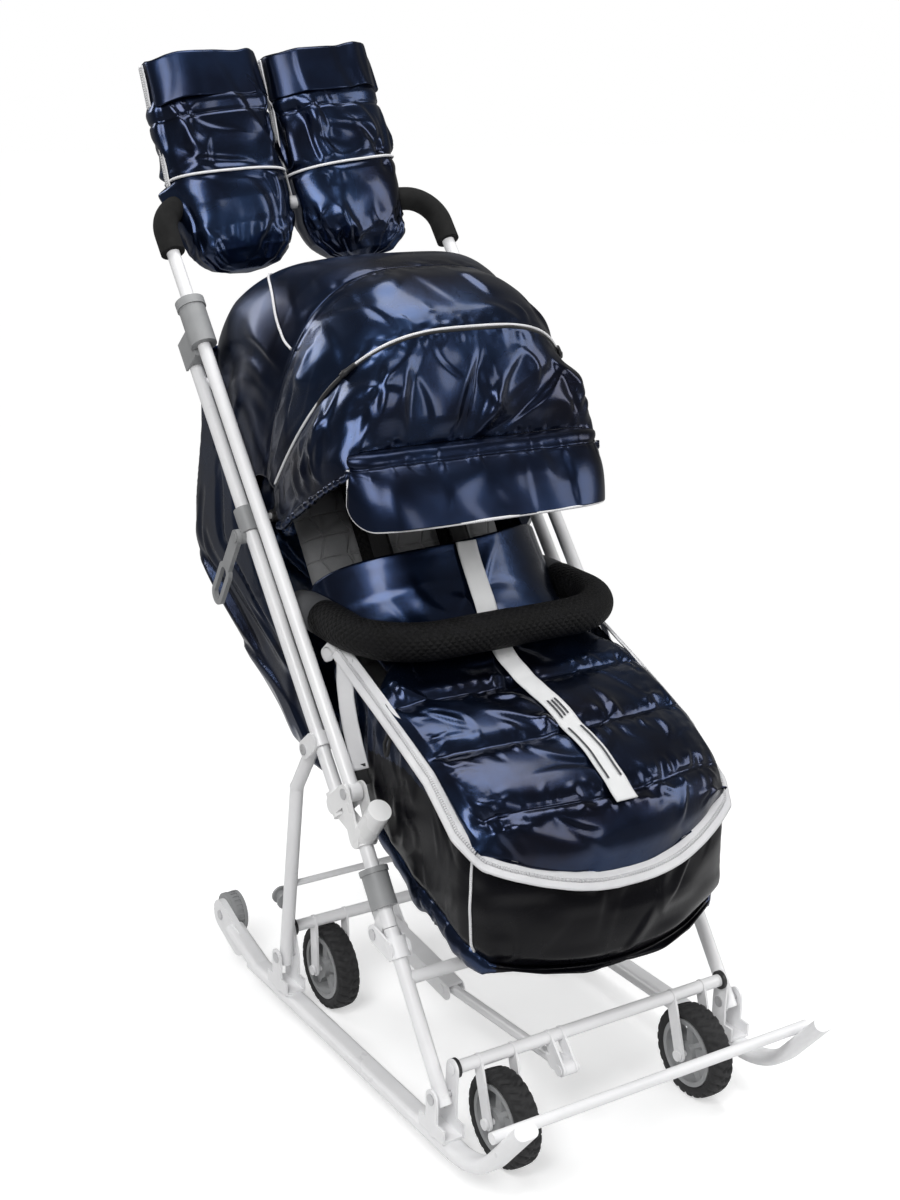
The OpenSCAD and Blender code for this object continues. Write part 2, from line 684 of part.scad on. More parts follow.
module harness_pads() {
    strap_x = tube_d * 3.4;
    face = back_low + [-sin(back_slope), cos(back_slope)] * (pad_t + gap);
    low = face + way(back_slope) * back_len * 0.5;
    high = face + way(back_slope) * back_len * 0.86;
    lift = [-sin(back_slope), cos(back_slope)] * tube_d * 0.4;
    both() on_side(strap_x, tube_d * 2.6) bar2d(low + lift, high + lift, tube_d * 0.75);
}
module bumper_bar() {
    rise = 1;
    bend = tube_d * 4.8;
    base = [bumper_y, bumper_z] - main_low;
    reach = (base[1] * cos(frame_slope) - base[0] * sin(frame_slope)) / sin(frame_slope - rise);
    arm = reach - bend - tube_r;
    translate([0, bumper_y, bumper_z]) rotate([rise, 0, 0]) both() {
        rotate([0, 90, 0]) cylinder(d = bumper_d, h = bumper_x - bend, $fn = round_n);
        translate([bumper_x - bend, bend, 0]) rotate([0, 0, -90])
            rotate_extrude(angle = 90, $fn = round_n)
            translate([bend, 0]) circle(d = bumper_d, $fn = round_n);
        translate([bumper_x, bend, 0]) rotate([-90, 0, 0]) cylinder(d = bumper_d, h = arm, $fn = round_n);
        translate([bumper_x, bend + arm, 0]) rotate([-90, 0, 0])
            cylinder(d = bumper_d * 0.8, h = tube_d, $fn = round_n);
        translate([bumper_x, bend + arm + tube_r, 0]) rotate([0, 90, 0])
            cylinder(d = tube_d * 0.8, h = side_x - tube_r - gap - bumper_x, $fn = round_n);
    }
}
// stations of the hood from its rear to the visor's edge: turn, reach, roundness and lower end
hood_turns = [53, 66, 84, 105, 127, 138, 150, 152, 173];
hood_shares = [0.845, 0.93, 1, 1.01, 1.015, 0.852, 0.735, 0.735, 0.85];
round_shares = [0.47, 0.48, 0.50, 0.50, 0.49, 0.30, 0.16, 0.16, 0.36];
end_shares = [0.3, 0.3, 0.3, 0.3, 0.3, 0.3, 0.3, 0.94, 0.78];
cover_top = on_hood(hood_turns[0], hood_r * hood_shares[0]);
cover_rear = [tube_d * 29, hood_z - tube_d * 5.4];
cover_low = [tube_d * 10, handle_z - tube_d * 0.8];
cover_seat = [back_low[0] - tube_d * 0.2, cover_low[1] - tube_d * 0.1];
module back_cover() {
    edge_low = on_main(tube_d * 1.5, tube_d * 0.95);
    edge_high = on_main(main_len - tube_d * 3, tube_d * 0.95);
    difference() {
        on_side(0, 2 * cloth_x)
            polygon([cover_seat, cover_low, cover_rear, cover_top, edge_high, edge_low]);
        on_side(0, 2 * (cloth_x - cloth_t)) polygon([
            seat_rear - [0, gap], cover_seat + [0, cloth_t], cover_low + [0, cloth_t],
            cover_rear + [-cloth_t * 1.3, cloth_t * 0.6], cover_top + [-cloth_t, tube_d],
            edge_high + [-tube_d * 4, tube_d], edge_low + [-tube_d * 4, 0]]);
        both() on_side(bag_x - bag_wall / 2, bag_wall + 2 * gap) translate(edge_low - [over, tube_d])
            square([bag_top[0][0] + gap - edge_low[0] + over, tube_d * 2]);
    }
}

// hood
arch_n = 18;
function hood_ring(k, a) = concat(
    [for (i = [0 : arch_n]) hood_point(k, a, 0, i)],
    [for (i = [arch_n : -1 : 0]) hood_point(k, a, cloth_t, i)]);
function hood_point(k, a, t, i) =
    let (low = asin(pow(end_shares[k], 1 / round_shares[k])), u = along([low, 180 - low], i / arch_n),
        q = on_hood(a, (hood_shares[k] * hood_r - t) * pow(sin(u), round_shares[k])))
    [(hood_x - t) * power(cos(u), round_shares[k]), q[0], q[1]];
module hood_panel(first, last) {
    loft([for (k = [first : last])
        let (a = hood_turns[k] + (k == first ? hood_trim : 0) - (k == last ? hood_trim : 0))
        hood_ring(k, a)], true);
}
hood_trim = 0.08;
bow_step = tube_d / 3;
bow_d = tube_d / 3;
module bow(k, n) {
    x = hood_x - bow_step * n;
    r = hood_shares[k] * hood_r - cloth_t - bow_d * 1.2;
    bend = hood_x * 0.714;
    difference() {
        union() {
            translate([0, hood_y, hood_z]) rotate([hood_turns[k] - 90, 0, 0]) both() {
                translate([x, 0, 0]) cylinder(d = bow_d, h = r - bend, $fn = round_n);
                translate([x - bend, 0, r - bend]) rotate([90, 0, 0])
                    rotate_extrude(angle = 90, $fn = round_n)
                    translate([bend, 0]) circle(d = bow_d, $fn = round_n);
                translate([0, 0, r]) rotate([0, 90, 0]) cylinder(d = bow_d, h = x - bend, $fn = round_n);
            }
            both() pin(hood_pivot, x - bow_d * 0.6, x + bow_d * 0.6, tube_d * 0.9);
        }
        both() pin(hood_pivot, 0, side_x, rivet_d + 2 * fit);
    }
}

// foot bag
bag_top = [[tube_d * 5.4, handle_z + tube_d * 8.2], [-tube_d * 0.3, handle_z + tube_d * 5.9],
    [-tube_d * 6.7, handle_z + tube_d * 3.1], [-bag_front_y, bag_low_z + bag_front_h]];
bag_low = [[-bag_front_y + tube_d * 0.4, bag_low_z], [-tube_d * 11, bag_low_z + tube_d],
    [-tube_d * 8, bag_low_z + tube_d * 2.1], [-tube_d * 4.2, bag_low_z + tube_d * 3],
    [-tube_d * 0.2, bag_low_z + tube_d * 5], [tube_d * 4, bag_low_z + tube_d * 7.7],
    [tube_d * 5.4, bag_low_z + tube_d * 7.9]];
bag_wall = tube_d / 3;
bag_arc_share = 1.8;
module bag_plan(x, front) {
    arc = x * bag_arc_share;
    intersection() {
        translate([-x, -front - over]) square([2 * x, front + over + tube_d * 8]);
        translate([0, arc - front]) circle(r = arc, $fn = round_n * 2);
    }
}
module foot_bag() {
    difference() {
        intersection() {
            on_side(0, 2 * bag_x) polygon(concat(bag_top, bag_low));
            translate([0, 0, bag_low_z - tube_d]) linear_extrude(tube_d * 24) bag_plan(bag_x, bag_front_y);
        }
        intersection() {
            on_side(0, 2 * (bag_x - bag_wall)) polygon(concat(
                [for (p = bag_top) p + [bag_wall * (p[0] < bag_top[2][0] ? 1 : 3), tube_d * 2]],
                [for (p = bag_low) p + [bag_wall * (p[0] > bag_low[5][0] ? 3 : 1), bag_wall * 1.3]]));
            translate([0, 0, bag_low_z - tube_d]) linear_extrude(tube_d * 24)
                bag_plan(bag_x - bag_wall, bag_front_y - bag_wall);
        }
    }
}
module leg_rest_board() {
    t = tube_d / 3;
    lift = [0, bag_wall * 0.92 + t * 0.56 + gap];
    on_side(0, 2 * (bag_x - bag_wall) - tube_d) bar2d(bag_low[4] + lift, bag_low[2] + lift, t);
}
// stations of the cover from its top flap to its front edge, as shares of the bag's reach
cover_y_shares = [0.43, 0.33, 0.18, 0.03, -0.13, -0.32, -0.46, -0.50, -0.70, -0.80, -0.90, -0.95, -0.985];
cover_z_shares = [0.87, 0.735, 0.55, 0.435, 0.37, 0.36, 0.275, 0.24, 0.205, 0.15, 0.06, -0.02, -0.13];
cover_w_shares = [0.70, 0.75, 0.80, 0.97, 0.98, 0.98, 0.98, 0.98, 0.97, 0.95, 0.67, 0.46, 0.24];
cover_n = 10;
cover_base = handle_z + tube_d * 1.2;
cover_t = tube_d * 1.6;
// height of the bag's rim at a place along it
function rim_z(y) = lookup(y, [for (k = [len(bag_top) - 1 : -1 : 0]) bag_top[k]]) + 2 * gap;
function cover_ring(k) =
    let (y = cover_y_shares[k] * bag_front_y, top = cover_base + cover_z_shares[k] * bag_front_y,
        low = k < 3 ? top - cover_t * 1.7 : rim_z(y), edge = low + cover_t / 5, w = bag_x * cover_w_shares[k])
    concat(
        [for (i = [0 : cover_n]) let (u = i / cover_n * 2 - 1, c = 1 - pow(abs(u), 2.6))
            [w * u, y, edge + (top - edge) * c]],
        [for (i = [cover_n : -1 : 0]) let (u = i / cover_n * 2 - 1, c = 1 - pow(abs(u), 2.6))
            [w * u, y, low + max(cover_t / 12, top - low - cover_t) * c]]);
module foot_cover() {
    loft([for (k = [0 : len(cover_y_shares) - 1]) cover_ring(k)]);
}

// colours of the parts
steel = [0.93, 0.93, 0.94];
zinc = [0.75, 0.75, 0.77];
grey = [0.45, 0.46, 0.48];
dark = [0.08, 0.08, 0.09];
navy = [0.05, 0.07, 0.15];

color(steel) placed() runner(-1);  // runner_left
color(steel) placed() runner(1);  // runner_right
color(steel) placed() tip_bar();
color(steel) placed()  // front_bracket_left
    bracket(-1, front_pivot, front_axle_at);
color(steel) placed()  // front_bracket_right
    bracket(1, front_pivot, front_axle_at);
color(steel) placed() bracket(-1, rear_pivot, rear_axle_at);  // rear_bracket_left
color(steel) placed() bracket(1, rear_pivot, rear_axle_at);  // rear_bracket_right
color(zinc) placed() base_bolts();
color(dark) placed() axle_bushings();
color(steel) placed()  // front_axle
    swing_axle(front_axle_at, front_wheel_at, clevis_front);
color(steel) placed()  // rear_axle
    swing_axle(rear_axle_at, rear_wheel_at, clevis_rear);
color(steel) placed() lift_tube();
color(steel) placed() lift_channel();
color(dark) placed() tyre(-1, front_wheel_at);  // tyre_fl
color(dark) placed() tyre(1, front_wheel_at);  // tyre_fr
color(dark) placed() tyre(-1, rear_wheel_at);  // tyre_rl
color(dark) placed() tyre(1, rear_wheel_at);  // tyre_rr
color(grey) placed() hub(-1, front_wheel_at);  // hub_fl
color(grey) placed() hub(1, front_wheel_at);  // hub_fr
color(grey) placed() hub(-1, rear_wheel_at);  // hub_rl
color(grey) placed() hub(1, rear_wheel_at);  // hub_rr
color(grey) placed() carry_wheel(-1);  // carry_wheel_left
color(grey) placed() carry_wheel(1);  // carry_wheel_right
color(steel) placed() front_legs();
color(steel) placed() rear_legs();
color(grey) placed() fold_knobs();
color(steel) placed() back_frame();
color(steel) placed() elbow(-1);  // elbow_left
color(steel) placed() elbow(1);  // elbow_right
color(steel) placed() upper_leg(-1);  // upper_leg_left
color(steel) placed() upper_leg(1);  // upper_leg_right
color(zinc) placed() frame_rivets();
color(grey) placed() leg_lock(-1);  // leg_lock_left
color(grey) placed() leg_lock(1);  // leg_lock_right
color(steel) placed() handle_bar();
color(dark) placed() grips();
color(navy) placed() mitt(-1);  // mitt_left
color(navy) placed() mitt(1);  // mitt_right
color(grey) placed() handle_lock(-1);  // handle_lock_left
color(grey) placed() handle_lock(1);  // handle_lock_right
color(grey) placed() recline_clamp(-1);  // recline_clamp_left
color(grey) placed() recline_clamp(1);  // recline_clamp_right
color(grey) placed() recline_lever(-1);  // recline_lever_left
color(grey) placed() recline_lever(1);  // recline_lever_right
color(grey) placed() seat_pad();
color(grey) placed() backrest_pad();
color(dark) placed() harness_pads();
color(dark) placed() bumper_bar();
color(navy) placed() back_cover();
color(navy) placed() hood_panel(0, 2);  // hood_rear
color(navy) placed() hood_panel(2, 4);  // hood_mid
color(navy) placed() hood_panel(4, 8);  // hood_visor
color(zinc) placed() bow(4, 2.5);  // hood_bow_mid
color(zinc) placed() bow(6, 3.8);  // hood_bow_front
color(dark) placed() leg_rest_board();
color(navy) placed() foot_bag();
color(navy) placed() foot_cover();
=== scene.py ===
import math
import bmesh
import bpy
import numpy as np
from mathutils import Matrix, Vector


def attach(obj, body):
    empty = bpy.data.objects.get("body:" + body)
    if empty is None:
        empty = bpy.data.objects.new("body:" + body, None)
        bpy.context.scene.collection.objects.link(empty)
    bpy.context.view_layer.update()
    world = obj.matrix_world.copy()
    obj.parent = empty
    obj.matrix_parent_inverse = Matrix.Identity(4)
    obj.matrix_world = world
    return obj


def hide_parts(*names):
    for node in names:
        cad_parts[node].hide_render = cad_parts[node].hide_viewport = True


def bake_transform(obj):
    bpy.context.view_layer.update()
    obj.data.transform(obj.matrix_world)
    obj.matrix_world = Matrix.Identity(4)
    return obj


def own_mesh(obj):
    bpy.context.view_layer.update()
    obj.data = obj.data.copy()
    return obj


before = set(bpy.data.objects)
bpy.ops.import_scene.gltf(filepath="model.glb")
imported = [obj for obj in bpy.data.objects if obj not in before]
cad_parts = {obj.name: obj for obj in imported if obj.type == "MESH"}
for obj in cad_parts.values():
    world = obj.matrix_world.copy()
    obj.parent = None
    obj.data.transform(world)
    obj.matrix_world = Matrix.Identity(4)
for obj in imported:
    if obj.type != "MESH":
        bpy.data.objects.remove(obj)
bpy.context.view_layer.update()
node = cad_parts

# All lengths below are millimetres in the frame the part was drawn in; MIDDLE is the frame's middle along y.
MIDDLE = 134.45029
METRE = 1000.0
TURN = 2 * math.pi
SIDES = (-1, 1)


def metres(p):
    return (np.asarray(p, float) - [0, MIDDLE, 0]) / METRE


# Steady noise: the corners of a lattice are hashed to values from 0 to 1.
HASH_X, HASH_Y, HASH_Z, HASH_MIX = 73856093, 19349663, 83492791, 1274126177
BITS_32, BITS_16 = 0xFFFFFFFF, 0xFFFF


def corner(i, j, k, seed):
    h = (i * HASH_X) ^ (j * HASH_Y) ^ (k * HASH_Z) ^ (seed * 6271 + 977)
    h = h & BITS_32
    h = ((h ^ (h >> 13)) * HASH_MIX) & BITS_32
    return ((h ^ (h >> 16)) & BITS_16) / BITS_16


def noise(p, seed=0):
    p = np.asarray(p, float)
    i = np.floor(p).astype(np.int64)
    f = p - i
    f = f * f * f * (f * (f * 6 - 15) + 10)
    out = 0
    for a in (0, 1):
        for b in (0, 1):
            for c in (0, 1):
                w = (f[..., 0] if a else 1 - f[..., 0]) * (f[..., 1] if b else 1 - f[..., 1])
                w = w * (f[..., 2] if c else 1 - f[..., 2])
                out = out + w * corner(i[..., 0] + a, i[..., 1] + b, i[..., 2] + c, seed)
    return out * 2 - 1


def noise_at(x, y, z, seed):
    return noise(np.stack(np.broadcast_arrays(x, y, z), -1), seed)


def ridge(p, seed=0):
    return 1 - 2 * np.abs(noise(p, seed))


def smooth(a, b, x):
    t = np.clip((np.asarray(x, float) - a) / (b - a), 0, 1)
    return t * t * (3 - 2 * t)


def bell(x, width):
    """One at zero, fading to nothing either side."""
    return np.exp(-((x / width) ** 2))


FOLD_STRETCH = 3.2
FOLD_LEANS = ((0.35, 0.60), (-0.45, 0.55), (0.05, 0.35))


def folds(x, y, z, size, seed):
    """Folds of coated cloth, long along y: broad swells, and narrow crests that lean both ways."""
    x, y, z = np.broadcast_arrays(x, y, z)
    out = 0.75 * noise_at(x / (2.2 * size), y / (2.6 * size), z / (2.2 * size), seed)
    for i, (lean, gain) in enumerate(FOLD_LEANS):
        bend = 0.4 * noise(np.stack([x, y, z], -1) / (1.7 * size), seed + 50 + i)
        q = np.stack([(x + lean * y) / size + bend, y / (size * FOLD_STRETCH), z / size], -1)
        crest = np.maximum(ridge(q, seed + 7 * i + 1), 0) ** 1.7
        out = out + gain * crest * smooth(-0.15, 0.45, noise(q * [0.4, 0.9, 0.4] + 3 * i, seed + 30 + i))
    return out - 0.25


# Creases of each panel: seed, count, span across, span along, angle and its spread in degrees, then length,
# width and height. Spans along the quilted cover hang on its seams and are given where they are used.
MITT_ROUND = 430.0
ROUND_SPAN = (0, MITT_ROUND)
CREASES = {
    "hood rear": (11, 16, (-330, 330), (40, 300), 84, 18, 170, 22, 4.0),
    "hood rear side": (12, 14, (-420, 420), (200, 330), 15, 25, 90, 10, 1.2),
    "hood mid": (21, 22, (-260, 260), (0, 140), 78, 30, 110, 17, 4.2),
    "hood mid seam": (22, 30, (-300, 300), (112, 142), 98, 14, 34, 5, 1.8),
    "hood mid side": (23, 44, (-480, 480), (0, 110), 30, 40, 70, 9, 4.0),
    "hood front": (31, 30, (-230, 230), (0, 140), 122, 20, 135, 15, 6.5),
    "hood front cross": (32, 14, (-230, 230), (20, 120), 75, 30, 80, 12, 4.0),
    "hood front side": (33, 40, (-470, 470), (0, 110), 90, 16, 70, 7, 4.6),
    "visor seam": (41, 34, (-210, 210), (22, 36), 88, 16, 24, 4, 0.8),
    "visor face": (42, 9, (-190, 190), (40, 110), 75, 25, 80, 24, 2.6),
    "back cover": (53, 46, (60, 470), (0, 640), 82, 16, 300, 17, 8.0),
    "bag front": (63, 16, (-330, 330), (20, 150), 62, 25, 90, 9, 3.0),
    "bag side": (62, 60, (220, 560), (0, 170), 80, 25, 60, 7, 4.5),
    "quilt left": (93, 34, (-180, 60), None, 55, 35, 95, 11, 4.2),
    "quilt right": (94, 16, (40, 180), None, 100, 30, 70, 10, 2.4),
    "quilt seam": (95, 34, (-180, 180), None, 88, 18, 36, 5, 2.4),
    "quilt edge": (99, 60, (-44, 44), None, 8, 22, 40, 6, 1.5),
    "mitt upper": (200, 26, ROUND_SPAN, (20, 130), 100, 24, 90, 14, 6.0),
    "mitt lower": (201, 20, ROUND_SPAN, (-90, 20), 85, 28, 80, 14, 5.0),
    "mitt end": (202, 40, ROUND_SPAN, (-90, -40), 90, 18, 44, 6, 3.2),
    "mitt cuff": (206, 12, ROUND_SPAN, (120, 190), 92, 8, 150, 20, 4.0),
}


def strokes(x, y, kind, span_y=None, more_seed=0):
    """Creases strewn over a panel: each a slightly bent ridge or hollow with one side steeper."""
    seed, count, span_x, own_span_y, angle, spread, length, width, height = CREASES[kind]
    span_y = span_y or own_span_y
    rng = np.random.default_rng(seed + more_seed)
    out = np.zeros(np.broadcast(x, y).shape)
    for _ in range(count):
        dx = x - rng.uniform(*span_x)
        dy = y - rng.uniform(*span_y)
        t = math.radians(angle + rng.normal(0, spread))
        far = length * rng.uniform(0.5, 1.3) / 2
        wide = width * rng.uniform(0.5, 1.4)
        high = height * rng.uniform(0.3, 1.2) * rng.choice([1, 1, -0.8])
        bend = rng.normal(0, 0.25)
        lean = rng.choice([-0.55, 0.55])
        u = dx * math.cos(t) + dy * math.sin(t)
        v = dy * math.cos(t) - dx * math.sin(t) - bend * u * u / far
        steep = wide * (1 + lean * np.tanh(2 * v / wide))
        out = out + high * np.exp(-((v / steep) ** 2) - (u / far) ** 4)
    return out


def spans(p):
    """How far each point of a grid is along its row and along its column."""
    a = np.cumsum(np.linalg.norm(np.diff(p, axis=1, prepend=p[:, :1]), axis=-1), axis=1)
    b = np.cumsum(np.linalg.norm(np.diff(p, axis=0, prepend=p[:1]), axis=-1), axis=0)
    return a - a[:, a.shape[1] // 2][:, None], b


# Paths and grids.
def steps(path):
    """How far along a path each of its points is."""
    return np.r_[0, np.cumsum(np.linalg.norm(np.diff(path, axis=0), axis=1))]


def resample(path, n):
    path = np.asarray(path, float)
    step = steps(path)
    t = np.linspace(0, step[-1], n)
    return np.stack([np.interp(t, step, path[:, i]) for i in range(path.shape[1])], -1)


def spline(points, n):
    p = np.asarray(points, float)
    p = np.vstack([2 * p[0] - p[1], p, 2 * p[-1] - p[-2]])
    t = np.linspace(0, 1, 24, endpoint=False)[:, None]
    out = []
    for a, b, c, d in zip(p, p[1:], p[2:], p[3:]):
        curve = 2 * b + (c - a) * t + (2 * a - 5 * b + 4 * c - d) * t**2 + (3 * b - a - 3 * c + d) * t**3
        out.append(0.5 * curve)
    return resample(np.vstack(out + [p[-2:-1]]), n)


def round_off(path):
    """Cuts a path's corners three times over, which rounds them."""
    p = np.asarray(path, float)
    for _ in range(3):
        a, b = p[:-1] * 0.75 + p[1:] * 0.25, p[:-1] * 0.25 + p[1:] * 0.75
        p = np.vstack([p[:1], np.stack([a, b], 1).reshape(-1, p.shape[1]), p[-1:]])
    return p


def normals(p, toward=None):
    """Unit normals of an array of points, turned the way toward says."""
    n = np.cross(np.gradient(p, axis=1), np.gradient(p, axis=0))
    n = n / np.maximum(np.linalg.norm(n, axis=-1, keepdims=True), 1e-9)
    return -n if toward is not None and (n * toward).sum() < 0 else n


def grid(name, p, mats, wrap=False, pick=None, toward=None, thick=0.0):
    """A mesh of quads over an array of points, rows by columns, whose faces look the way toward says."""
    p = np.asarray(p, float)
    flip = toward is not None and (normals(p) * toward).sum() < 0
    rows, cols = p.shape[:2]
    mats = mats if isinstance(mats, list) else [mats]
    r, c = np.meshgrid(np.arange(rows - 1), np.arange(cols if wrap else cols - 1), indexing="ij")
    r, c = r.ravel(), c.ravel()
    d = (c + 1) % cols
    quads = np.stack([r * cols + c, r * cols + d, (r + 1) * cols + d, (r + 1) * cols + c], -1)
    lr, lc = np.stack([r, r, r + 1, r + 1], -1), np.stack([c, c + 1, c + 1, c], -1)
    if flip:
        quads, lr, lc = quads[:, ::-1], lr[:, ::-1], lc[:, ::-1]
    mesh = bpy.data.meshes.new(name)
    mesh.from_pydata(metres(p.reshape(-1, 3)).tolist(), [], quads.tolist())
    middle = p[rows // 2]
    across, along = steps(np.vstack([middle, middle[:1]])), steps(p[:, cols // 2])
    layer = mesh.uv_layers.new(name="UVMap")
    layer.data.foreach_set("uv", (np.stack([across[lc], along[lr]], -1) / METRE).ravel())
    for m in mats:
        mesh.materials.append(m)
    if pick is not None:
        mesh.polygons.foreach_set("material_index", np.asarray(pick)[r, c].astype(np.int32))
    mesh.polygons.foreach_set("use_smooth", np.ones(len(quads), bool))
    mesh.update()
    o = bpy.data.objects.new(name, mesh)
    bpy.context.scene.collection.objects.link(o)
    if thick:
        m = o.modifiers.new("cloth", "SOLIDIFY")
        m.thickness = thick / METRE
        m.offset = -1
    return o


TUBE_START, TUBE_TIP = [0.3, 0.9, 0.35], 0.02


def tube(name, path, radius, mat, sides=12, ends=True):
    """A round tube along a path, closed by flat ends where asked."""
    path = np.asarray(path, float)
    radius = np.broadcast_to(np.asarray(radius, float), (len(path),)).copy()
    tangent = np.gradient(path, axis=0)
    tangent /= np.maximum(np.linalg.norm(tangent, axis=1, keepdims=True), 1e-9)
    up = np.cross(tangent[0], TUBE_START)
    up /= np.linalg.norm(up)
    ups = []
    for t in tangent:
        up = up - t * (up @ t)
        up /= np.linalg.norm(up)
        ups.append(up)
    ups = np.array(ups)
    side = np.cross(tangent, ups)
    if ends:
        path, ups, side = (np.vstack([v[:1], v, v[-1:]]) for v in (path, ups, side))
        radius = np.r_[radius[0] * TUBE_TIP, radius, radius[-1] * TUBE_TIP]
    a = np.linspace(0, TURN, sides, endpoint=False)[None, :, None]
    ring = np.cos(a) * ups[:, None] + np.sin(a) * side[:, None]
    return grid(name, path[:, None] + radius[:, None, None] * ring, mat, wrap=True)


WAVE_SIZE = 17.0


def ribbon(name, path, across, width, mat, thick=1.4, cols=7, wave=0.0, seed=3):
    path = np.asarray(path, float)
    across = np.broadcast_to(np.asarray(across, float), path.shape)
    across = across / np.linalg.norm(across, axis=1, keepdims=True)
    k = np.linspace(-0.5, 0.5, cols)
    p = path[:, None] + across[:, None] * (k * width)[None, :, None]
    if wave:
        p = p + normals(p) * (wave * noise(p / WAVE_SIZE, seed))[..., None]
    return grid(name, p, mat, thick=thick)


UNDERSIDE = 0.97


def pillow(name, at, axes, size, mat, nx, ny, quilt=None, corner_share=0.12):
    """A closed pad on a flat back: at is the middle of its back, and size its width, height and depth."""
    ex, ey, ez = (np.array(v, float) / np.linalg.norm(v) for v in axes)
    wide, tall, deep = size
    s = np.sin(np.linspace(-np.pi / 2, np.pi / 2, nx))
    t = np.sin(np.linspace(-np.pi / 2, np.pi / 2, ny))
    u, v = np.meshgrid(s, t)
    edge = np.clip((1 - np.abs(u) ** 7) * (1 - np.abs(v) ** 9), 0, 1) ** 0.45
    pull = 1 - 0.02 * (1 - np.abs(v) ** 2) * (np.abs(u) > 0.5)
    cut = 1 - corner_share * smooth(0.72, 1, np.abs(u)) * smooth(0.8, 1, np.abs(v))
    x, y = u * wide / 2 * pull * cut, v * tall / 2 * cut
    h = deep * edge * (0.86 + 0.14 * (1 - u**2))
    if quilt is not None:
        h = h + quilt(x, y) * edge
    front = np.array(at) + x[..., None] * ex + y[..., None] * ey + h[..., None] * ez
    back = np.array(at) + x[..., None] * ex * UNDERSIDE + y[..., None] * ey * UNDERSIDE
    return join(grid(name, front, mat), grid(name + ".under", back[:, ::-1], mat))


def join(a, b):
    """Takes the second object, of the same material, into the first."""
    bm = bmesh.new()
    bm.from_mesh(a.data)
    bm.from_mesh(b.data)
    bmesh.ops.remove_doubles(bm, verts=bm.verts[:], dist=1e-6)
    bm.to_mesh(a.data)
    bm.free()
    bpy.data.objects.remove(b)
    return a


# Materials.
def add(t, kind, ins=None, **props):
    n = t.nodes.new(kind)
    for k, v in props.items():
        setattr(n, k, v)
    for k, v in (ins or {}).items():
        if isinstance(v, bpy.types.NodeSocket):
            t.links.new(v, n.inputs[k])
        else:
            n.inputs[k].default_value = v
    return n


def maths(t, operation, *values):
    return add(t, "ShaderNodeMath", dict(enumerate(values)), operation=operation).outputs[0]


GRAIN_DEPTH, WRINKLE_DEPTH, WRINKLE_STRENGTH = 0.0008, 0.004, 0.09


def material(name, low, high, rough, grain, bump, patches=12.0, spread=0.08, metal=0.0, coat=0.0,
             coat_rough=0.2, sheen=0.0, spec=0.5, height=None, wrinkles=None):
    """A surface whose colour drifts from low to high, whose gloss varies, and which has a fine grain."""
    m = bpy.data.materials.new(name)
    m.use_nodes = True
    t = m.node_tree
    b = t.nodes["Principled BSDF"]
    at = add(t, "ShaderNodeTexCoord").outputs["Object"]
    big = add(t, "ShaderNodeTexNoise", {"Vector": at, "Scale": patches, "Detail": 4.0, "Roughness": 0.6})
    ramp = add(t, "ShaderNodeValToRGB", {"Fac": big.outputs["Fac"]})
    for element, place_on_ramp, colour in zip(ramp.color_ramp.elements, (0.35, 0.68), (low, high)):
        element.position = place_on_ramp
        element.color = (*colour, 1)
    t.links.new(ramp.outputs["Color"], b.inputs["Base Color"])
    gloss = add(t, "ShaderNodeMapRange", {"Value": big.outputs["Fac"], "From Min": 0.3, "From Max": 0.7,
                                          "To Min": rough - spread, "To Max": rough + spread})
    t.links.new(gloss.outputs["Result"], b.inputs["Roughness"])
    fine = add(t, "ShaderNodeTexNoise", {"Vector": at, "Scale": grain, "Detail": 3.0})
    value = fine.outputs["Fac"]
    if height is not None:
        value = maths(t, "ADD", height(t), value)
    last = add(t, "ShaderNodeBump", {"Height": value, "Strength": bump, "Distance": GRAIN_DEPTH})
    if wrinkles is not None:
        last = add(t, "ShaderNodeBump", {"Height": wrinkles(t, at), "Strength": WRINKLE_STRENGTH,
                                         "Distance": WRINKLE_DEPTH, "Normal": last.outputs[0]})
    t.links.new(last.outputs[0], b.inputs["Normal"])
    settings = {"Metallic": metal, "Coat Weight": coat, "Coat Roughness": coat_rough, "Sheen Weight": sheen,
                "Specular IOR Level": spec}
    for key, setting in settings.items():
        b.inputs[key].default_value = setting
    m.diffuse_color = (*high, 1)
    return m


def uv_axes(t):
    """The ways along a piece's own width and length, in metres."""
    uv = add(t, "ShaderNodeUVMap", uv_map="UVMap").outputs[0]
    xyz = add(t, "ShaderNodeSeparateXYZ", {0: uv})
    return xyz.outputs[0], xyz.outputs[1]


def uv_waves(su, sv, kind="MULTIPLY"):
    """Two crossed waves along the piece's own width and length, in waves per metre."""
    def build(t):
        u, v = uv_axes(t)
        a = maths(t, "SINE", maths(t, "MULTIPLY", u, su * TURN))
        b = maths(t, "SINE", maths(t, "MULTIPLY", v, sv * TURN))
        return maths(t, kind, a, b)
    return build


def uv_diamonds(size):
    """Small diamonds, as in a net."""
    def build(t):
        uv = add(t, "ShaderNodeUVMap", uv_map="UVMap").outputs[0]
        turn = add(t, "ShaderNodeMapping", {"Vector": uv, "Rotation": (0, 0, math.radians(45)),
                                            "Scale": (1 / size, 1 / size, 1)})
        xyz = add(t, "ShaderNodeSeparateXYZ", {0: turn.outputs[0]})
        a = maths(t, "PINGPONG", xyz.outputs[0], 1.0)
        b = maths(t, "PINGPONG", xyz.outputs[1], 1.0)
        return maths(t, "MULTIPLY", maths(t, "MINIMUM", a, b), 2.0)
    return build


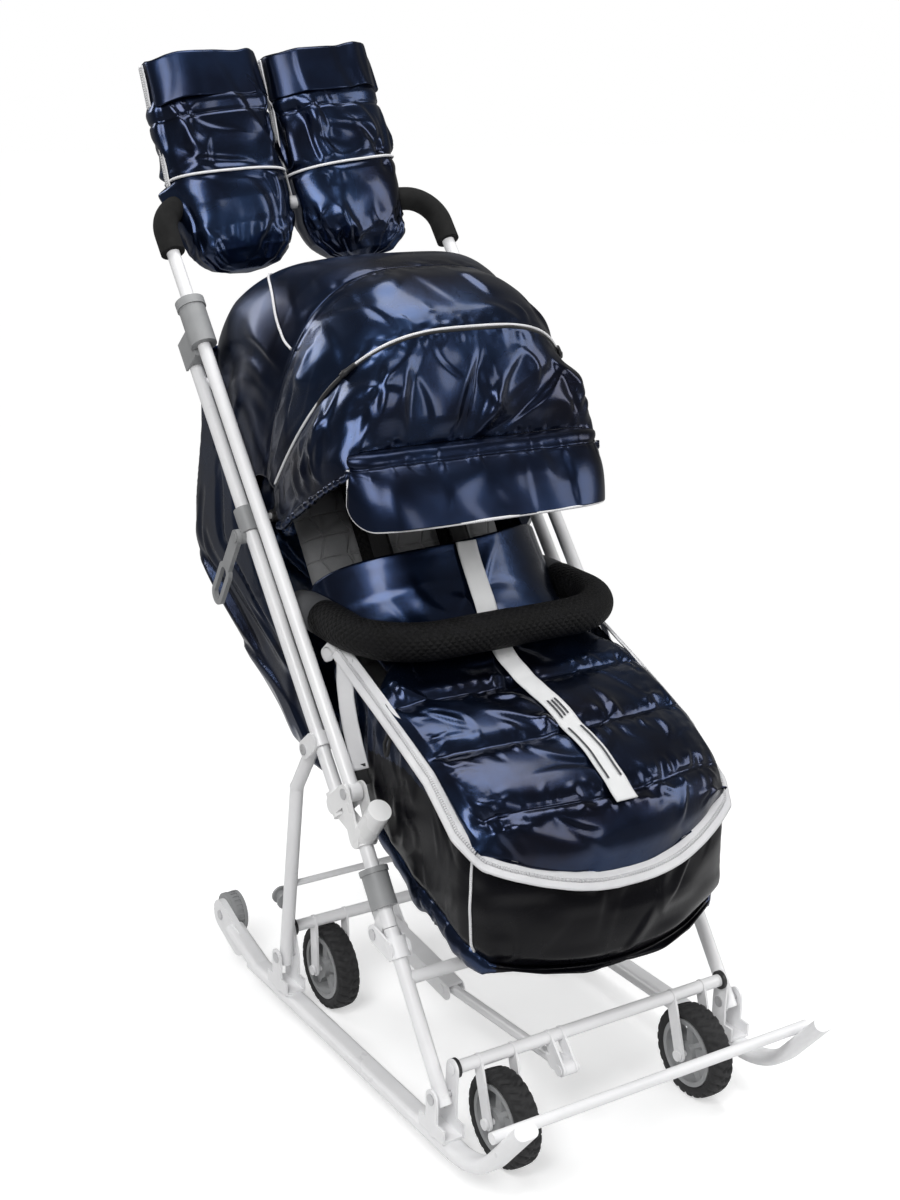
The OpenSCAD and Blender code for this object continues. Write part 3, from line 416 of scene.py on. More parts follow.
def uv_cells(wide, high):
    """Narrow grooves round cells in rows, whose upright lines zigzag from row to row."""
    def build(t):
        u, v = uv_axes(t)
        rows = maths(t, "MULTIPLY", v, 1 / high)
        tilt = maths(t, "MULTIPLY", maths(t, "PINGPONG", rows, 1.0), 0.35)
        cols = maths(t, "MULTIPLY_ADD", u, 1 / wide, tilt)
        low = maths(t, "MINIMUM", maths(t, "PINGPONG", cols, 0.5), maths(t, "PINGPONG", rows, 0.5))
        groove = {"Value": low, "From Min": 0.0, "From Max": 0.06, "To Max": 6.0}
        return add(t, "ShaderNodeMapRange", groove).outputs["Result"]
    return build


def wrinkles_of(scale):
    """Fine sharp wrinkles of coated cloth."""
    def build(t, at):
        swirl = {"Vector": at, "Scale": scale, "Detail": 5.0, "Roughness": 0.55, "Distortion": 1.4}
        a = add(t, "ShaderNodeTexNoise", swirl).outputs["Fac"]
        off = maths(t, "ABSOLUTE", maths(t, "SUBTRACT", a, 0.5))
        return maths(t, "SUBTRACT", 1.0, maths(t, "POWER", off, 0.6))
    return build


# Each material: darker and lighter colour, roughness, scale of its grain and strength of its relief.
WHITE = material("white powder coat", (0.80, 0.80, 0.81), (0.86, 0.86, 0.87), 0.34, 900, 0.10, coat=0.15)
ZINC = material("zinc", (0.50, 0.50, 0.51), (0.66, 0.66, 0.67), 0.32, 700, 0.12, patches=60, metal=1.0)
GREY = material("grey plastic", (0.27, 0.275, 0.28), (0.33, 0.335, 0.34), 0.46, 1400, 0.22)
BLACK = material("black plastic", (0.012, 0.012, 0.013), (0.022, 0.022, 0.024), 0.45, 1200, 0.2)
TYRE = material("tyre rubber", (0.010, 0.010, 0.011), (0.024, 0.024, 0.025), 0.72, 600, 0.5, patches=40)
FOAM = material("foam", (0.006, 0.006, 0.006), (0.014, 0.014, 0.014), 0.92, 1700, 0.8, patches=90, spec=0.25)
SHELL = material("white plastic", (0.80, 0.80, 0.80), (0.85, 0.85, 0.85), 0.30, 800, 0.08, coat=0.2)
NAVY = material("coated navy cloth", (0.009, 0.011, 0.026), (0.016, 0.036, 0.092), 0.26, 1600, 0.04,
                patches=5, metal=0.93, spread=0.05, coat=0.32, coat_rough=0.12,
                height=uv_waves(1500, 1500), wrinkles=wrinkles_of(9))
SMOOTH = material("smooth navy cloth", (0.008, 0.010, 0.023), (0.013, 0.028, 0.074), 0.31, 1600, 0.04,
                  patches=5, metal=0.93, spread=0.05, coat=0.2, coat_rough=0.16,
                  height=uv_waves(1500, 1500), wrinkles=wrinkles_of(5))
BOOT = material("black cloth", (0.0015, 0.0015, 0.0025), (0.003, 0.003, 0.005), 0.28, 1600, 0.05,
                patches=6, spec=0.14, coat=0.06, coat_rough=0.15,
                height=uv_waves(1200, 1200), wrinkles=wrinkles_of(7))
LINING = material("grey lining", (0.13, 0.132, 0.136), (0.17, 0.172, 0.177), 0.85, 900, 0.6,
                  patches=20, sheen=0.2, height=uv_cells(0.038, 0.031))
INNER = material("dark lining", (0.010, 0.011, 0.016), (0.018, 0.019, 0.026), 0.8, 900, 0.3,
                 height=uv_waves(600, 600))
NET = material("black net", (0.0015, 0.0015, 0.0015), (0.005, 0.005, 0.006), 0.6, 1500, 1.0,
               patches=50, spec=0.16, height=uv_diamonds(0.0035))
SLEEVE = material("grey sleeve", (0.045, 0.047, 0.052), (0.07, 0.072, 0.078), 0.7, 1200, 0.5,
                  height=uv_waves(500, 500))
BELT = material("black webbing", (0.010, 0.010, 0.011), (0.018, 0.018, 0.02), 0.75, 900, 0.7,
                height=uv_waves(350, 500))
TAPE = material("white tape", (0.70, 0.70, 0.72), (0.80, 0.80, 0.81), 0.7, 1100, 0.5,
                height=uv_waves(500, 700))
STRAP = material("light strap", (0.68, 0.685, 0.69), (0.77, 0.775, 0.78), 0.72, 1000, 0.5,
                 height=uv_waves(450, 600))
STRIPE = material("strap stripe", (0.03, 0.032, 0.04), (0.05, 0.052, 0.06), 0.6, 1000, 0.3)
TEETH = material("zip teeth", (0.60, 0.60, 0.62), (0.78, 0.78, 0.79), 0.4, 800, 1.0,
                 height=uv_waves(0.01, 320, "ADD"))
PIPING = material("white piping", (0.72, 0.72, 0.74), (0.82, 0.82, 0.83), 0.55, 1000, 0.5,
                  height=uv_waves(0.01, 400, "ADD"))

# Finish of the solids that stay, by how their names start; the rest is white.
FINISHES = (
    (("tyre",), TYRE),
    (("hub", "carry", "leg_lock", "handle_lock", "recline", "fold_knobs"), GREY),
    (("base_bolts", "frame_rivets"), ZINC),
    (("axle_bushings", "leg_rest_board", "hood_bow"), BLACK),
    (("elbow",), SHELL),
    (("grips",), FOAM),
)
for name, o in node.items():
    finish = next((m for starts, m in FINISHES if name.startswith(starts)), WHITE)
    o.data.materials.clear()
    o.data.materials.append(finish)


def place(o, body, stands_for=()):
    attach(o, body)
    if stands_for:
        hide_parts(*stands_for)
    return o


# Tyres with a block tread.
WHEEL_R, LUGS, GROOVE, BEAD_R = 60, 26, 2.6, 49.5
TYRE_HALF = [(-13.4, 44.2), (-15.2, 46.5), (-16, 51), (-15.2, 55.4), (-12.5, 58.3), (-6, 59.3)]
TYRE_PROFILE = spline(TYRE_HALF + [(0, 59.6)] + [(-w, r) for w, r in reversed(TYRE_HALF)], 25)


def tyre(name, x, y, body):
    a, w = np.meshgrid(np.linspace(0, TURN, 288, endpoint=False), TYRE_PROFILE[:, 0])
    r = np.broadcast_to(TYRE_PROFILE[:, 1][:, None], a.shape).copy()
    tread = smooth(53.5, 56.5, r)
    lug = (a / TURN * LUGS + np.where(w > 0, 0.5, 0) + np.abs(w) / 26) % 1
    outer = smooth(0.60, 0.68, lug) * (1 - smooth(0.94, 1.0, lug)) * smooth(2.5, 5.0, np.abs(w))
    mid = (a / TURN * LUGS + w / 18) % 1
    inner = 0.8 * smooth(0.80, 0.86, mid) * (1 - smooth(0.95, 1.0, mid)) * (1 - smooth(3, 5, np.abs(w)))
    r = r - GROOVE * tread * np.maximum(outer, inner)
    r = r + 0.35 * bell(r - BEAD_R, 0.8)
    p = np.stack([x + w, y + r * np.cos(a), WHEEL_R + r * np.sin(a)], -1)
    return place(grid(name + ".tread", p, TYRE, wrap=True), body, (name,))


for name, x, y in (("fl", -145, -220), ("fr", 145, -220), ("rl", -145, 214), ("rr", 145, 214)):
    tyre("tyre_" + name, x, y, "wheel_" + name)

# Hood: arches of cloth in planes through the hood's pivot, by their turn in degrees from the rear edge on.
HOOD_Y, HOOD_Z, HOOD_X, HOOD_R = 290.0, 690.0, 197.0, 327.0
REAR_EDGE, REAR_SEAM, MID_SEAM, FRONT_SEAM, VISOR_EDGE = 48, 103.0, 127, 150, 173
ARCH_FROM, ARCH_TO, ARCH_POINTS = 46, 183, 301
REACH = np.polyfit([48, 66, 84, 105, 127], [0.80, 0.93, 1.0, 1.005, 0.985], 3)
ROUND = ([48, 66, 84, 95, 105, 127, 138, 150, 173], [0.24, 0.28, 0.44, 0.58, 0.66, 0.64, 0.40, 0.19, 0.36])
HOOD_END, HEM_OFF, CLOTH = 0.17, 25.6, 1.4


def hood_reach(a):
    """The hood's radius along its middle: a round top, a flat front and then the visor."""
    if a <= MID_SEAM:
        return HOOD_R * np.polyval(REACH, a)
    if a <= FRONT_SEAM:
        k = (a - MID_SEAM) / (FRONT_SEAM - MID_SEAM)
        return (193.9 + 14.1 * k) / -math.cos(math.radians(a)) + 4 * math.sin(math.pi * k)
    k = (a - FRONT_SEAM) / (VISOR_EDGE - FRONT_SEAM)
    return 240 + 38 * k + 5 * math.sin(math.pi * min(k, 1))


def hood_arch(a):
    e = float(np.interp(a, *ROUND))
    low = math.asin(HOOD_END ** (1 / e))
    u = low + (np.pi - 2 * low) * (0.5 - 0.5 * np.cos(np.linspace(0, np.pi, 3000)))
    x = -HOOD_X * np.sign(np.cos(u)) * np.abs(np.cos(u)) ** e
    r = hood_reach(a) * np.sin(u) ** e
    t = math.radians(a)
    return resample(np.stack([x, HOOD_Y + math.cos(t) * r, HOOD_Z + math.sin(t) * r], -1), ARCH_POINTS)


ARCHES = np.array([hood_arch(a) for a in range(ARCH_FROM, ARCH_TO + 1)])


def hood_at(turn, f):
    """Points of the hood at a turn in degrees and a share f of the way along the arch there."""
    turn, f = np.broadcast_arrays(np.asarray(turn, float), np.asarray(f, float))
    a = np.clip(turn - ARCH_FROM, 0, ARCH_TO - ARCH_FROM - 0.001)
    c = np.clip(f * (ARCH_POINTS - 1), 0, ARCH_POINTS - 1.001)
    i, j = a.astype(int), c.astype(int)
    a, c = (a - i)[..., None], (c - j)[..., None]
    here = ARCHES[i, j] * (1 - c) + ARCHES[i, j + 1] * c
    after = ARCHES[i + 1, j] * (1 - c) + ARCHES[i + 1, j + 1] * c
    return here * (1 - a) + after * a


def hood_spot(p):
    """How far points are from the hood's pivot."""
    return np.hypot(p[..., 1] - HOOD_Y, p[..., 2] - HOOD_Z)


def outward(p):
    return normals(p, p - [0, HOOD_Y, HOOD_Z + 60])


def hood_cloth(p, d, seam):
    """Cloth that swells between its seams and is drawn in along them."""
    d = d * smooth(-2, 42, seam) - 0.7 * bell(seam, 6)
    pull = noise_at(p[..., 0] / 9, (p[..., 1] + p[..., 2]) / 13, 0, 9)
    return p + outward(p) * (d + 1.3 * pull * bell(seam, 15) * smooth(0, 6, seam))[..., None]


def hood_ride(o, stands_for=(), behind=False):
    """Bakes a hood piece's place into its mesh and hides the solids it stands for; the rear pieces are
    treated like the rest.
    """
    if behind:
        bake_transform(o)
    else:
        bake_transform(o)
    if stands_for:
        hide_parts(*stands_for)
    return o


def hood_panel(a0, a1, rows, cols, drop=None):
    """A panel between two turns: a1 may fall lower along its sides, by drop degrees."""
    k, f = np.linspace(0, 1, rows)[:, None], np.linspace(0, 1, cols)[None]
    p = hood_at(a0 + k * (a1 - a0 + (0 if drop is None else drop(f))), f)
    s, t = spans(p)
    seam = np.minimum(k, 1 - k) * t[-1][None]
    return p, s, t, seam, smooth(170, 250, np.abs(s))


def hem_drop(f):
    """How far the hood's sides hang below the front seam, to a straight hem."""
    r = hood_spot(hood_at(FRONT_SEAM, f))
    hang = np.degrees(np.arcsin(HEM_OFF / np.maximum(r, 50)))
    return hang * (1 - smooth(0.92, 0.985, r / hood_reach(FRONT_SEAM)))


rear_p, s, t, seam, side = hood_panel(REAR_EDGE, REAR_SEAM, 110, 260)
d = 3 + strokes(s, t, "hood rear") + 2.5 * strokes(s, t, "hood rear side") * side
rear = grid("hood.rear", hood_cloth(rear_p, d, seam), SMOOTH, toward=outward(rear_p), thick=CLOTH)
mid_p, s, t, seam, side = hood_panel(REAR_SEAM, MID_SEAM, 80, 280)
d = 3 + strokes(s, t, "hood mid") + strokes(s, t, "hood mid seam") + side * strokes(s, t, "hood mid side")
mid = grid("hood.mid", hood_cloth(mid_p, d, seam), NAVY, toward=outward(mid_p), thick=CLOTH)
FRONT_COLS = 280
front_p, s, t, seam, side = hood_panel(MID_SEAM, FRONT_SEAM, 100, FRONT_COLS, hem_drop)
d = 2 + strokes(s, t, "hood front") + strokes(s, t, "hood front cross")
d = d + side * strokes(s, t, "hood front side")
front = grid("hood.front", hood_cloth(front_p, d, seam), NAVY, toward=outward(front_p), thick=CLOTH)

# Visor: a roll under the seam, a sewn line, then a flat face with rounded lower corners.
VISOR_ROWS, VISOR_COLS, VISOR_W, VISOR_R, CORNER_R, ROLL = 80, 240, 420, 262, 36.0, 0.24


def first_over(turn, share):
    """The share along the arch at a turn where it first reaches that share of its height."""
    reached = hood_spot(ARCHES[turn - ARCH_FROM]) / hood_reach(turn)
    return np.argmax(reached > share) / (ARCH_POINTS - 1)


visor_k = np.linspace(0, 1, VISOR_ROWS)[:, None]
first = np.interp(visor_k, [0, 1], [first_over(FRONT_SEAM, 0.955), first_over(VISOR_EDGE, 0.80)])
visor_f = first + (1 - 2 * first) * np.linspace(0, 1, VISOR_COLS)[None]
col = np.arange(VISOR_COLS)
from_side = np.minimum(col, VISOR_COLS - 1 - col) / (VISOR_COLS - 1) * VISOR_W
lift = CORNER_R - np.sqrt(np.maximum(CORNER_R**2 - np.maximum(CORNER_R - from_side, 0) ** 2, 0))
visor_turn = VISOR_EDGE - FRONT_SEAM - np.degrees(lift / VISOR_R)
visor_p = hood_at(FRONT_SEAM + visor_k * visor_turn[None], visor_f)
visor_s, visor_t = spans(visor_p)
kk = np.broadcast_to(visor_k, visor_s.shape)
visor_d = 5.5 * np.sin(np.pi * np.clip(kk / ROLL, 0, 1)) - 2.4 * bell(kk - ROLL, 0.02)
visor_d = visor_d + 2.0 * smooth(ROLL, 0.7, kk)
visor_d = visor_d + strokes(visor_s, visor_t, "visor seam") + strokes(visor_s, visor_t, "visor face")
visor_n = outward(visor_p)
visor = grid("hood.visor", visor_p + visor_n * visor_d[..., None], SMOOTH, toward=visor_n, thick=4.0)
hood_ride(rear, stands_for=("hood_rear",), behind=True)
hood_ride(mid, stands_for=("hood_mid",))
hood_ride(front)
hood_ride(visor, stands_for=("hood_visor",))

# Piping along the hood's seams, and pulls and gathered hems at its sides.
roll_row = int(ROLL * VISOR_ROWS)
edge = np.vstack([visor_p[roll_row + 4:, 0], visor_p[-1, 1:-1], visor_p[:roll_row + 3:-1, -1]])
ARC_HALF = [(103, 0.222), (98, 0.228), (92, 0.25), (85, 0.29), (74, 0.34), (65, 0.41)]
arc = spline(ARC_HALF + [(62, 0.5)] + [(turn, 1 - f) for turn, f in reversed(ARC_HALF)], 140)
arc_n = outward(hood_at(arc[:, :1] + [[-2, 0, 2]], arc[:, 1:]))[:, 1]
arc_p = hood_at(arc[:, 0], arc[:, 1]) + arc_n * 4.0
mid_line = hood_at(MID_SEAM, np.linspace(0.01, 0.99, 200)) + [0, -0.6, 1.2]
pipes = [
    tube("hood.piping.mid", mid_line, 1.7, PIPING, 10),
    tube("hood.piping.rear", arc_p, 1.7, PIPING, 10),
    tube("hood.piping.visor", resample(edge, 260), 2.0, PIPING, 10),
]
for o in pipes:
    hood_ride(o, behind=o is pipes[1])
PULL_AT, PULL_LONG, HEM_R, HEM_LONG = 0.238, 0.03, 4.6, 190
pull_r = np.interp(np.linspace(0, 1, 14), [0, 0.3, 0.5, 1], [3.6, 4.4, 3.2, 2.6])
hem_cols = np.nonzero(hem_drop(np.linspace(0, 1, FRONT_COLS)) > 4)[0]
for i, s in enumerate(SIDES):
    f = 0.5 + s * PULL_AT
    line = hood_at(MID_SEAM, np.linspace(f, f - s * PULL_LONG, 14)) + [s * 2.0, -2.5, 1.0]
    hood_ride(tube(f"hood.pull.{i}", line, pull_r, BLACK, 12))
    cols = hem_cols[(hem_cols >= FRONT_COLS // 2) == (s > 0)]
    along = np.linspace(0, 1, 150) * HEM_LONG
    puff = HEM_R * (1 + 0.35 * noise_at(along / 5.5, 0, i, 77))
    hood_ride(tube(f"hood.hem.{i}", resample(front_p[-1, cols], 150), puff, NAVY, 14))

# Back cover: a sling of cloth behind the seat, held along the two main tubes.
BACK_ROWS, BACK_COLS, BACK_DEEP = 140, 210, 240
EDGE = resample([(74.9, 391.8), (439.4, 841.6), (462, 878)], BACK_ROWS)
BACK = round_off([(182, 396), (360, 496), (500, 580), (519, 606), (514, 650), (468, 890)])
BACK = resample(BACK, BACK_ROWS)
SECTION_HALF = [(-202, 0.0), (-202, 0.45), (-202, 0.93), (-188, 1.0)]


def cover_section():
    """Across the cover: x, and the share of the way from the tubes to the back."""
    path = round_off(SECTION_HALF + [(0, 1.02)] + [(-x, f) for x, f in reversed(SECTION_HALF)])
    k, at = np.linspace(0, 1, 400), np.linspace(0, 1, len(path))
    scaled = np.stack([np.interp(k, at, path[:, 0]), np.interp(k, at, path[:, 1]) * BACK_DEEP], -1)
    out = resample(scaled, BACK_COLS)
    return out[:, 0], out[:, 1] / BACK_DEEP


sx, sf = cover_section()
back_p = np.empty((BACK_ROWS, BACK_COLS, 3))
back_p[..., 0] = sx
back_p[..., 1] = EDGE[:, :1] * (1 - sf) + BACK[:, :1] * sf
back_p[..., 2] = EDGE[:, 1:] * (1 - sf) + BACK[:, 1:] * sf
back_s, back_t = spans(back_p)
fall = np.linspace(0, 1, BACK_ROWS)[:, None]
hold = smooth(0, 0.16, sf) * smooth(0, 0.05, fall) * (1 - 0.8 * smooth(0.93, 1, fall))
back_n = normals(back_p, back_p - [0, 330, 650])
back_d = np.clip(strokes(np.abs(back_s), back_t, "back cover") - 2, -14, 3.5) * hold
cover = grid("back.cover", back_p + back_n * back_d[..., None], NAVY, toward=back_n, thick=CLOTH)
place(cover, "back_frame", ("back_cover",))
FRAME_SLOPE, BEHIND_PAD = math.radians(51), 40.0
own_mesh(cover)

# Foot bag: its rim and lower edge as heights over y.
BAG_HALF, BAG_FRONT, BAG_BEND, BAG_ARC = 188, -262, -186, 338.4
RIM = np.array([(-262, 355), (-120.6, 463.8), (-5.4, 514.2), (97.2, 555.6)], float)
LOW = np.array([(-262, 238), (-254.8, 240), (-198, 258), (-144, 277.8), (-75.6, 294), (-3.6, 330),
                (72, 378.6), (97.2, 384)], float)


def rim_z(y):
    return np.interp(y, RIM[:, 0], RIM[:, 1])


def low_z(y):
    return np.interp(y, LOW[:, 0], LOW[:, 1])


def bag_path(inset, n, rear_y=97.0):
    """The bag's outline in plan, from its left rear round the front to its right rear."""
    x0 = BAG_HALF - inset
    xs = np.linspace(-(x0 - 14), x0 - 14, 60)
    front_y = BAG_FRONT + inset + BAG_ARC - np.sqrt(BAG_ARC**2 - xs**2)
    path = [(-x0, rear_y)] + [(-x0, y) for y in np.linspace(rear_y, BAG_BEND, 30)] + list(zip(xs, front_y))
    path += [(x0, y) for y in np.linspace(BAG_BEND, rear_y, 30)] + [(x0, rear_y)]
    return resample(round_off(path), n)


def plan_normals(path):
    """Unit normals of a plan path that point out of the bag."""
    t = np.gradient(path, axis=0)
    n = np.stack([t[:, 1], -t[:, 0]], -1)
    n /= np.linalg.norm(n, axis=1, keepdims=True)
    return -n if n[0, 0] > 0 else n


def bag_rows(path, levels, puff):
    """Rows from the bag's lower edge to its rim along a plan path."""
    out = plan_normals(path)
    lo, hi = low_z(path[:, 1]) + 10, rim_z(path[:, 1])
    k = np.linspace(0, 1, levels)[:, None]
    off = puff * np.sin(np.pi * k) ** 0.8 - 9 * (1 - smooth(0, 0.16, k))
    p = np.empty((levels, len(path), 3))
    p[..., 0] = path[:, 0] + out[:, 0] * off
    p[..., 1] = path[:, 1] + out[:, 1] * off
    p[..., 2] = lo + (hi - lo) * k
    n = np.concatenate([np.broadcast_to(out, p.shape[:2] + (2,)), np.zeros(p.shape[:2] + (1,))], -1)
    return p, n, np.broadcast_to(k, p.shape[:2])


plan = bag_path(3, 320)
wall_p, wall_n, wall_k = bag_rows(plan, 56, 6.0)
is_front = smooth(-195, -215, wall_p[..., 1])
is_soft = smooth(-30, 30, wall_p[..., 1] - 40 + (wall_p[..., 2] - 470) * 0.25)
from_rim = rim_z(wall_p[..., 1]) - wall_p[..., 2]
is_navy = from_rim < np.interp(wall_p[..., 1], [-262, -200, -60, 20, 62], [9, 13, 34, 70, 400])
wall_s, wall_t = spans(wall_p)
wall_d = 2.0 * noise(wall_p / [70, 70, 24], 61) * (0.5 + is_front) + strokes(wall_s, wall_t, "bag front")
wall_d = wall_d + (0.25 + 0.75 * is_soft) * strokes(np.abs(wall_s), wall_t, "bag side")
wall_d = wall_d * smooth(0, 0.12, wall_k) * (1 - smooth(0.93, 1, wall_k))
wall = grid("bag.wall", wall_p + wall_n * wall_d[..., None], [BOOT, NAVY], pick=is_navy.astype(int),
            toward=wall_n, thick=2.0)
place(wall, "back_frame", ("foot_bag",))

# Gathered hem under the bag's wall, which nearly vanishes at the front.
HEM_ROUND = 13.0
hem_path = bag_path(6, 460)
hem_n = plan_normals(hem_path)
round_k = np.linspace(-0.35, 1.25, 22)[:, None] * np.pi
hem_s = steps(hem_path)[None]
gather = 1 + 0.30 * folds(hem_s, 14 * round_k, 0, 13, 71) + 0.14 * folds(hem_s, 9 * round_k, 0, 31, 72)
hem_side = smooth(-232, -190, hem_path[:, 1])[None]
hem_r = HEM_ROUND * gather * (0.10 + 0.90 * hem_side)
hem_out = np.cos(round_k - 0.5 * np.pi) * 0.75 * hem_r - 6
hem_p = np.empty(gather.shape + (3,))
hem_p[..., 0] = hem_path[:, 0] + hem_n[:, 0] * hem_out
hem_p[..., 1] = hem_path[:, 1] + hem_n[:, 1] * hem_out
hem_p[..., 2] = low_z(hem_path[:, 1]) + 4 + np.sin(0.5 * np.pi - round_k) * hem_r * 1.25
hem = grid("bag.hem", hem_p, [BOOT, NAVY], pick=np.broadcast_to(hem_side > 0.3, gather.shape).astype(int))
place(hem, "back_frame")

# Floor of the bag: its half width over y.
FLOOR_HALF = ([-252, -240, -215, -190], [70, 110, 160, 178])
floor_y = np.linspace(-252, 97, 90)[:, None]
floor_u = np.linspace(-1, 1, 70)
floor_x = np.interp(floor_y, *FLOOR_HALF) * floor_u
floor_p = np.stack(np.broadcast_arrays(floor_x, floor_y, low_z(floor_y) - 1), -1)
floor_p[..., 2] += 2.5 * folds(floor_p[..., 0], floor_p[..., 1], 0, 50, 81) + 6 * (np.abs(floor_u) ** 6)
under = grid("bag.floor", floor_p, BOOT, toward=np.array([0, 0, -1.0]), thick=2.0)
place(under, "back_frame")
for i, s in enumerate(SIDES):
    col = int(np.argmin(np.hypot(plan[:, 0] - s * 185, plan[:, 1] + 200)))
    line = (wall_p + wall_n * (wall_d[..., None] + 1.2))[3:-2, col]
    place(tube(f"bag.piping.{i}", resample(line, 60), 1.7, PIPING, 10), "back_frame")

# Padded cover of the foot bag, sewn across in three lines. Its spine is y, z and how far the sides lag in y.
SPINE = [(110, 664, 0), (88, 626, 0), (48, 576, 2), (20, 551, 5), (-34, 530, 14), (-84, 517, 21),
         (-133, 498, 28), (-186, 479, 36), (-234, 453, 44), (-253, 430, 50), (-261, 402, 54),
         (-260, 378, 56), (-255, 361, 57)]
FLAP_POINT, SEAM_POINTS = 3, (4, 6, 8)
QUILT_ROWS, QUILT_COLS, QUILT_HALF = 190, 150, 186
LOOK_UP = np.array([0, -0.3, 1.0])
spine = spline(SPINE, QUILT_ROWS)
reach = steps(spine[:, :2])


def reach_of(i):
    """How far down the cover a point of its spine lies."""
    return reach[np.argmin(np.hypot(spine[:, 0] - SPINE[i][0], spine[:, 1] - SPINE[i][1]))]


seam_at = [reach_of(i) for i in SEAM_POINTS]
flap_end, cover_end = reach_of(FLAP_POINT), reach[-1]
u = np.sin(np.linspace(-np.pi / 2, np.pi / 2, QUILT_COLS))
half_at = [0, flap_end * 0.3, flap_end * 0.55, flap_end * 0.8, flap_end * 1.1, cover_end]
half = QUILT_HALF * np.interp(reach, half_at, [0.94, 0.92, 0.81, 0.81, 0.985, 0.985])
wrap = np.interp(reach, [0, flap_end * 0.35, flap_end * 0.75], [1, 0.75, 0])[:, None]
roll = smooth(flap_end, flap_end + 50, reach) * (1 - smooth(seam_at[2] - 30, seam_at[2] + 40, reach))
roll = roll[:, None]
ROLL_AT = [0, 0.3, 0.6, 0.8, 0.9, 0.96, 1.0]
roll_x = np.sign(u) * np.interp(np.abs(u), ROLL_AT, [0, 0.31, 0.62, 0.84, 0.965, 1.02, 1.0])
roll_z = np.interp(np.abs(u), ROLL_AT, [1, 0.985, 0.93, 0.82, 0.62, 0.30, 0])
quilt_p = np.empty((QUILT_ROWS, QUILT_COLS, 3))
quilt_p[..., 0] = half[:, None] * (u * (1 - roll) + roll_x * roll)
quilt_p[..., 1] = spine[:, :1] + spine[:, 2:] * u**2 + 92 * wrap * np.abs(u) ** 2.2
side_z = rim_z(quilt_p[:, -1, 1]) + 5
flap_z = np.maximum(side_z, spine[:, 1] - 46 + 8 * smooth(0, flap_end, reach))
side_z = np.where(reach < flap_end, flap_z, side_z)[:, None]
front_share = smooth(seam_at[2], cover_end, reach)[:, None]
curve = np.maximum(1 - np.abs(u[None]) ** (3.6 + 2.2 * front_share), 0) ** (0.56 + 0.44 * front_share)
curve = curve * (1 - roll) + roll_z * roll
quilt_z = side_z + (spine[:, 1:2] - side_z) * curve + 12 * wrap * u + 10 * wrap * (1 - u**2)
last = smooth(cover_end - 26, cover_end, reach)[:, None]
quilt_p[..., 2] = quilt_z * (1 - last) + np.maximum(rim_z(quilt_p[..., 1]) + 2, 356) * last
quilt_n = normals(quilt_p, LOOK_UP)
quilt_x = quilt_p[..., 0]
run = np.broadcast_to(reach[:, None], quilt_x.shape)
near = np.min([np.abs(run - s) for s in seam_at], axis=0)
from_edge = 1 - np.abs(u)[None]
rim_fall = smooth(0.02, 0.16, from_edge) * smooth(0, 22, cover_end - run) * smooth(0, 12, run)
pucker = noise_at(quilt_x / 15, run / 55, 0, 91) + 0.6 * noise_at(quilt_x / 7, run / 30, 0, 92)
quilt_d = strokes(quilt_x, run, "quilt left", (60, cover_end))
quilt_d = quilt_d + strokes(quilt_x, run, "quilt right", (60, cover_end))
for i, at in enumerate(seam_at):
    quilt_d = quilt_d + strokes(quilt_x, run, "quilt seam", (at - 16, at + 16), i) * smooth(1, 6, near)
edge_x = (QUILT_HALF - np.abs(quilt_x)) * np.sign(quilt_x)
edge_d = strokes(edge_x, run, "quilt edge", (flap_end, cover_end)) * smooth(8, 20, np.abs(edge_x))
quilt_d = quilt_d + edge_d + 0.8 * pucker * bell(near, 14) * smooth(1, 7, near) - 5.0 * bell(near, 13) - 1
quilt_d = quilt_d * rim_fall - 2.5 * bell(near, 3.2) * smooth(0.03, 0.12, from_edge)
quilt_d = quilt_d * np.where(run < flap_end, 0.6, 1.0)
quilt_s = quilt_p + quilt_n * quilt_d[..., None]
quilt = grid("cover.quilt", quilt_s, NAVY, toward=quilt_n, thick=6.0)
place(quilt, "back_frame", ("foot_cover",))

# Zip round the rim.
ZIP_POINTS = 420
zip_path = bag_path(-1, ZIP_POINTS, 100)
zip_n = plan_normals(zip_path)
zip_c = np.stack([zip_path[:, 0], zip_path[:, 1], rim_z(zip_path[:, 1]) + 3], -1)
zip_c[:, 2] += 1.2 * noise_at(zip_path[:, 0] / 60, zip_path[:, 1] / 60, 0, 95)
zip_x = np.concatenate([-zip_n * 0.72, np.full((ZIP_POINTS, 1), 0.70)], -1)
zip_up = np.concatenate([zip_n * 0.70, np.full((ZIP_POINTS, 1), 0.72)], -1)
tape = ribbon("cover.zip.tape", zip_c + zip_up * 1.5, zip_x, 24, TAPE, 1.6, 9, 0.5, 7)
curl = spline([(-189, 97, 559), (-193, 112, 568), (-196, 121, 560), (-194, 114, 548), (-191, 104, 551)], 40)
curl = ribbon("cover.zip.curl", curl, [0.55, -0.3, 0.75], 17, TAPE, 1.6, 7, 0.4, 8)
teeth = tube("cover.zip.teeth", zip_c + zip_up * 2.6, 2.4, TEETH, 10)
for o in (curl, tape, teeth):
    place(o, "back_frame")

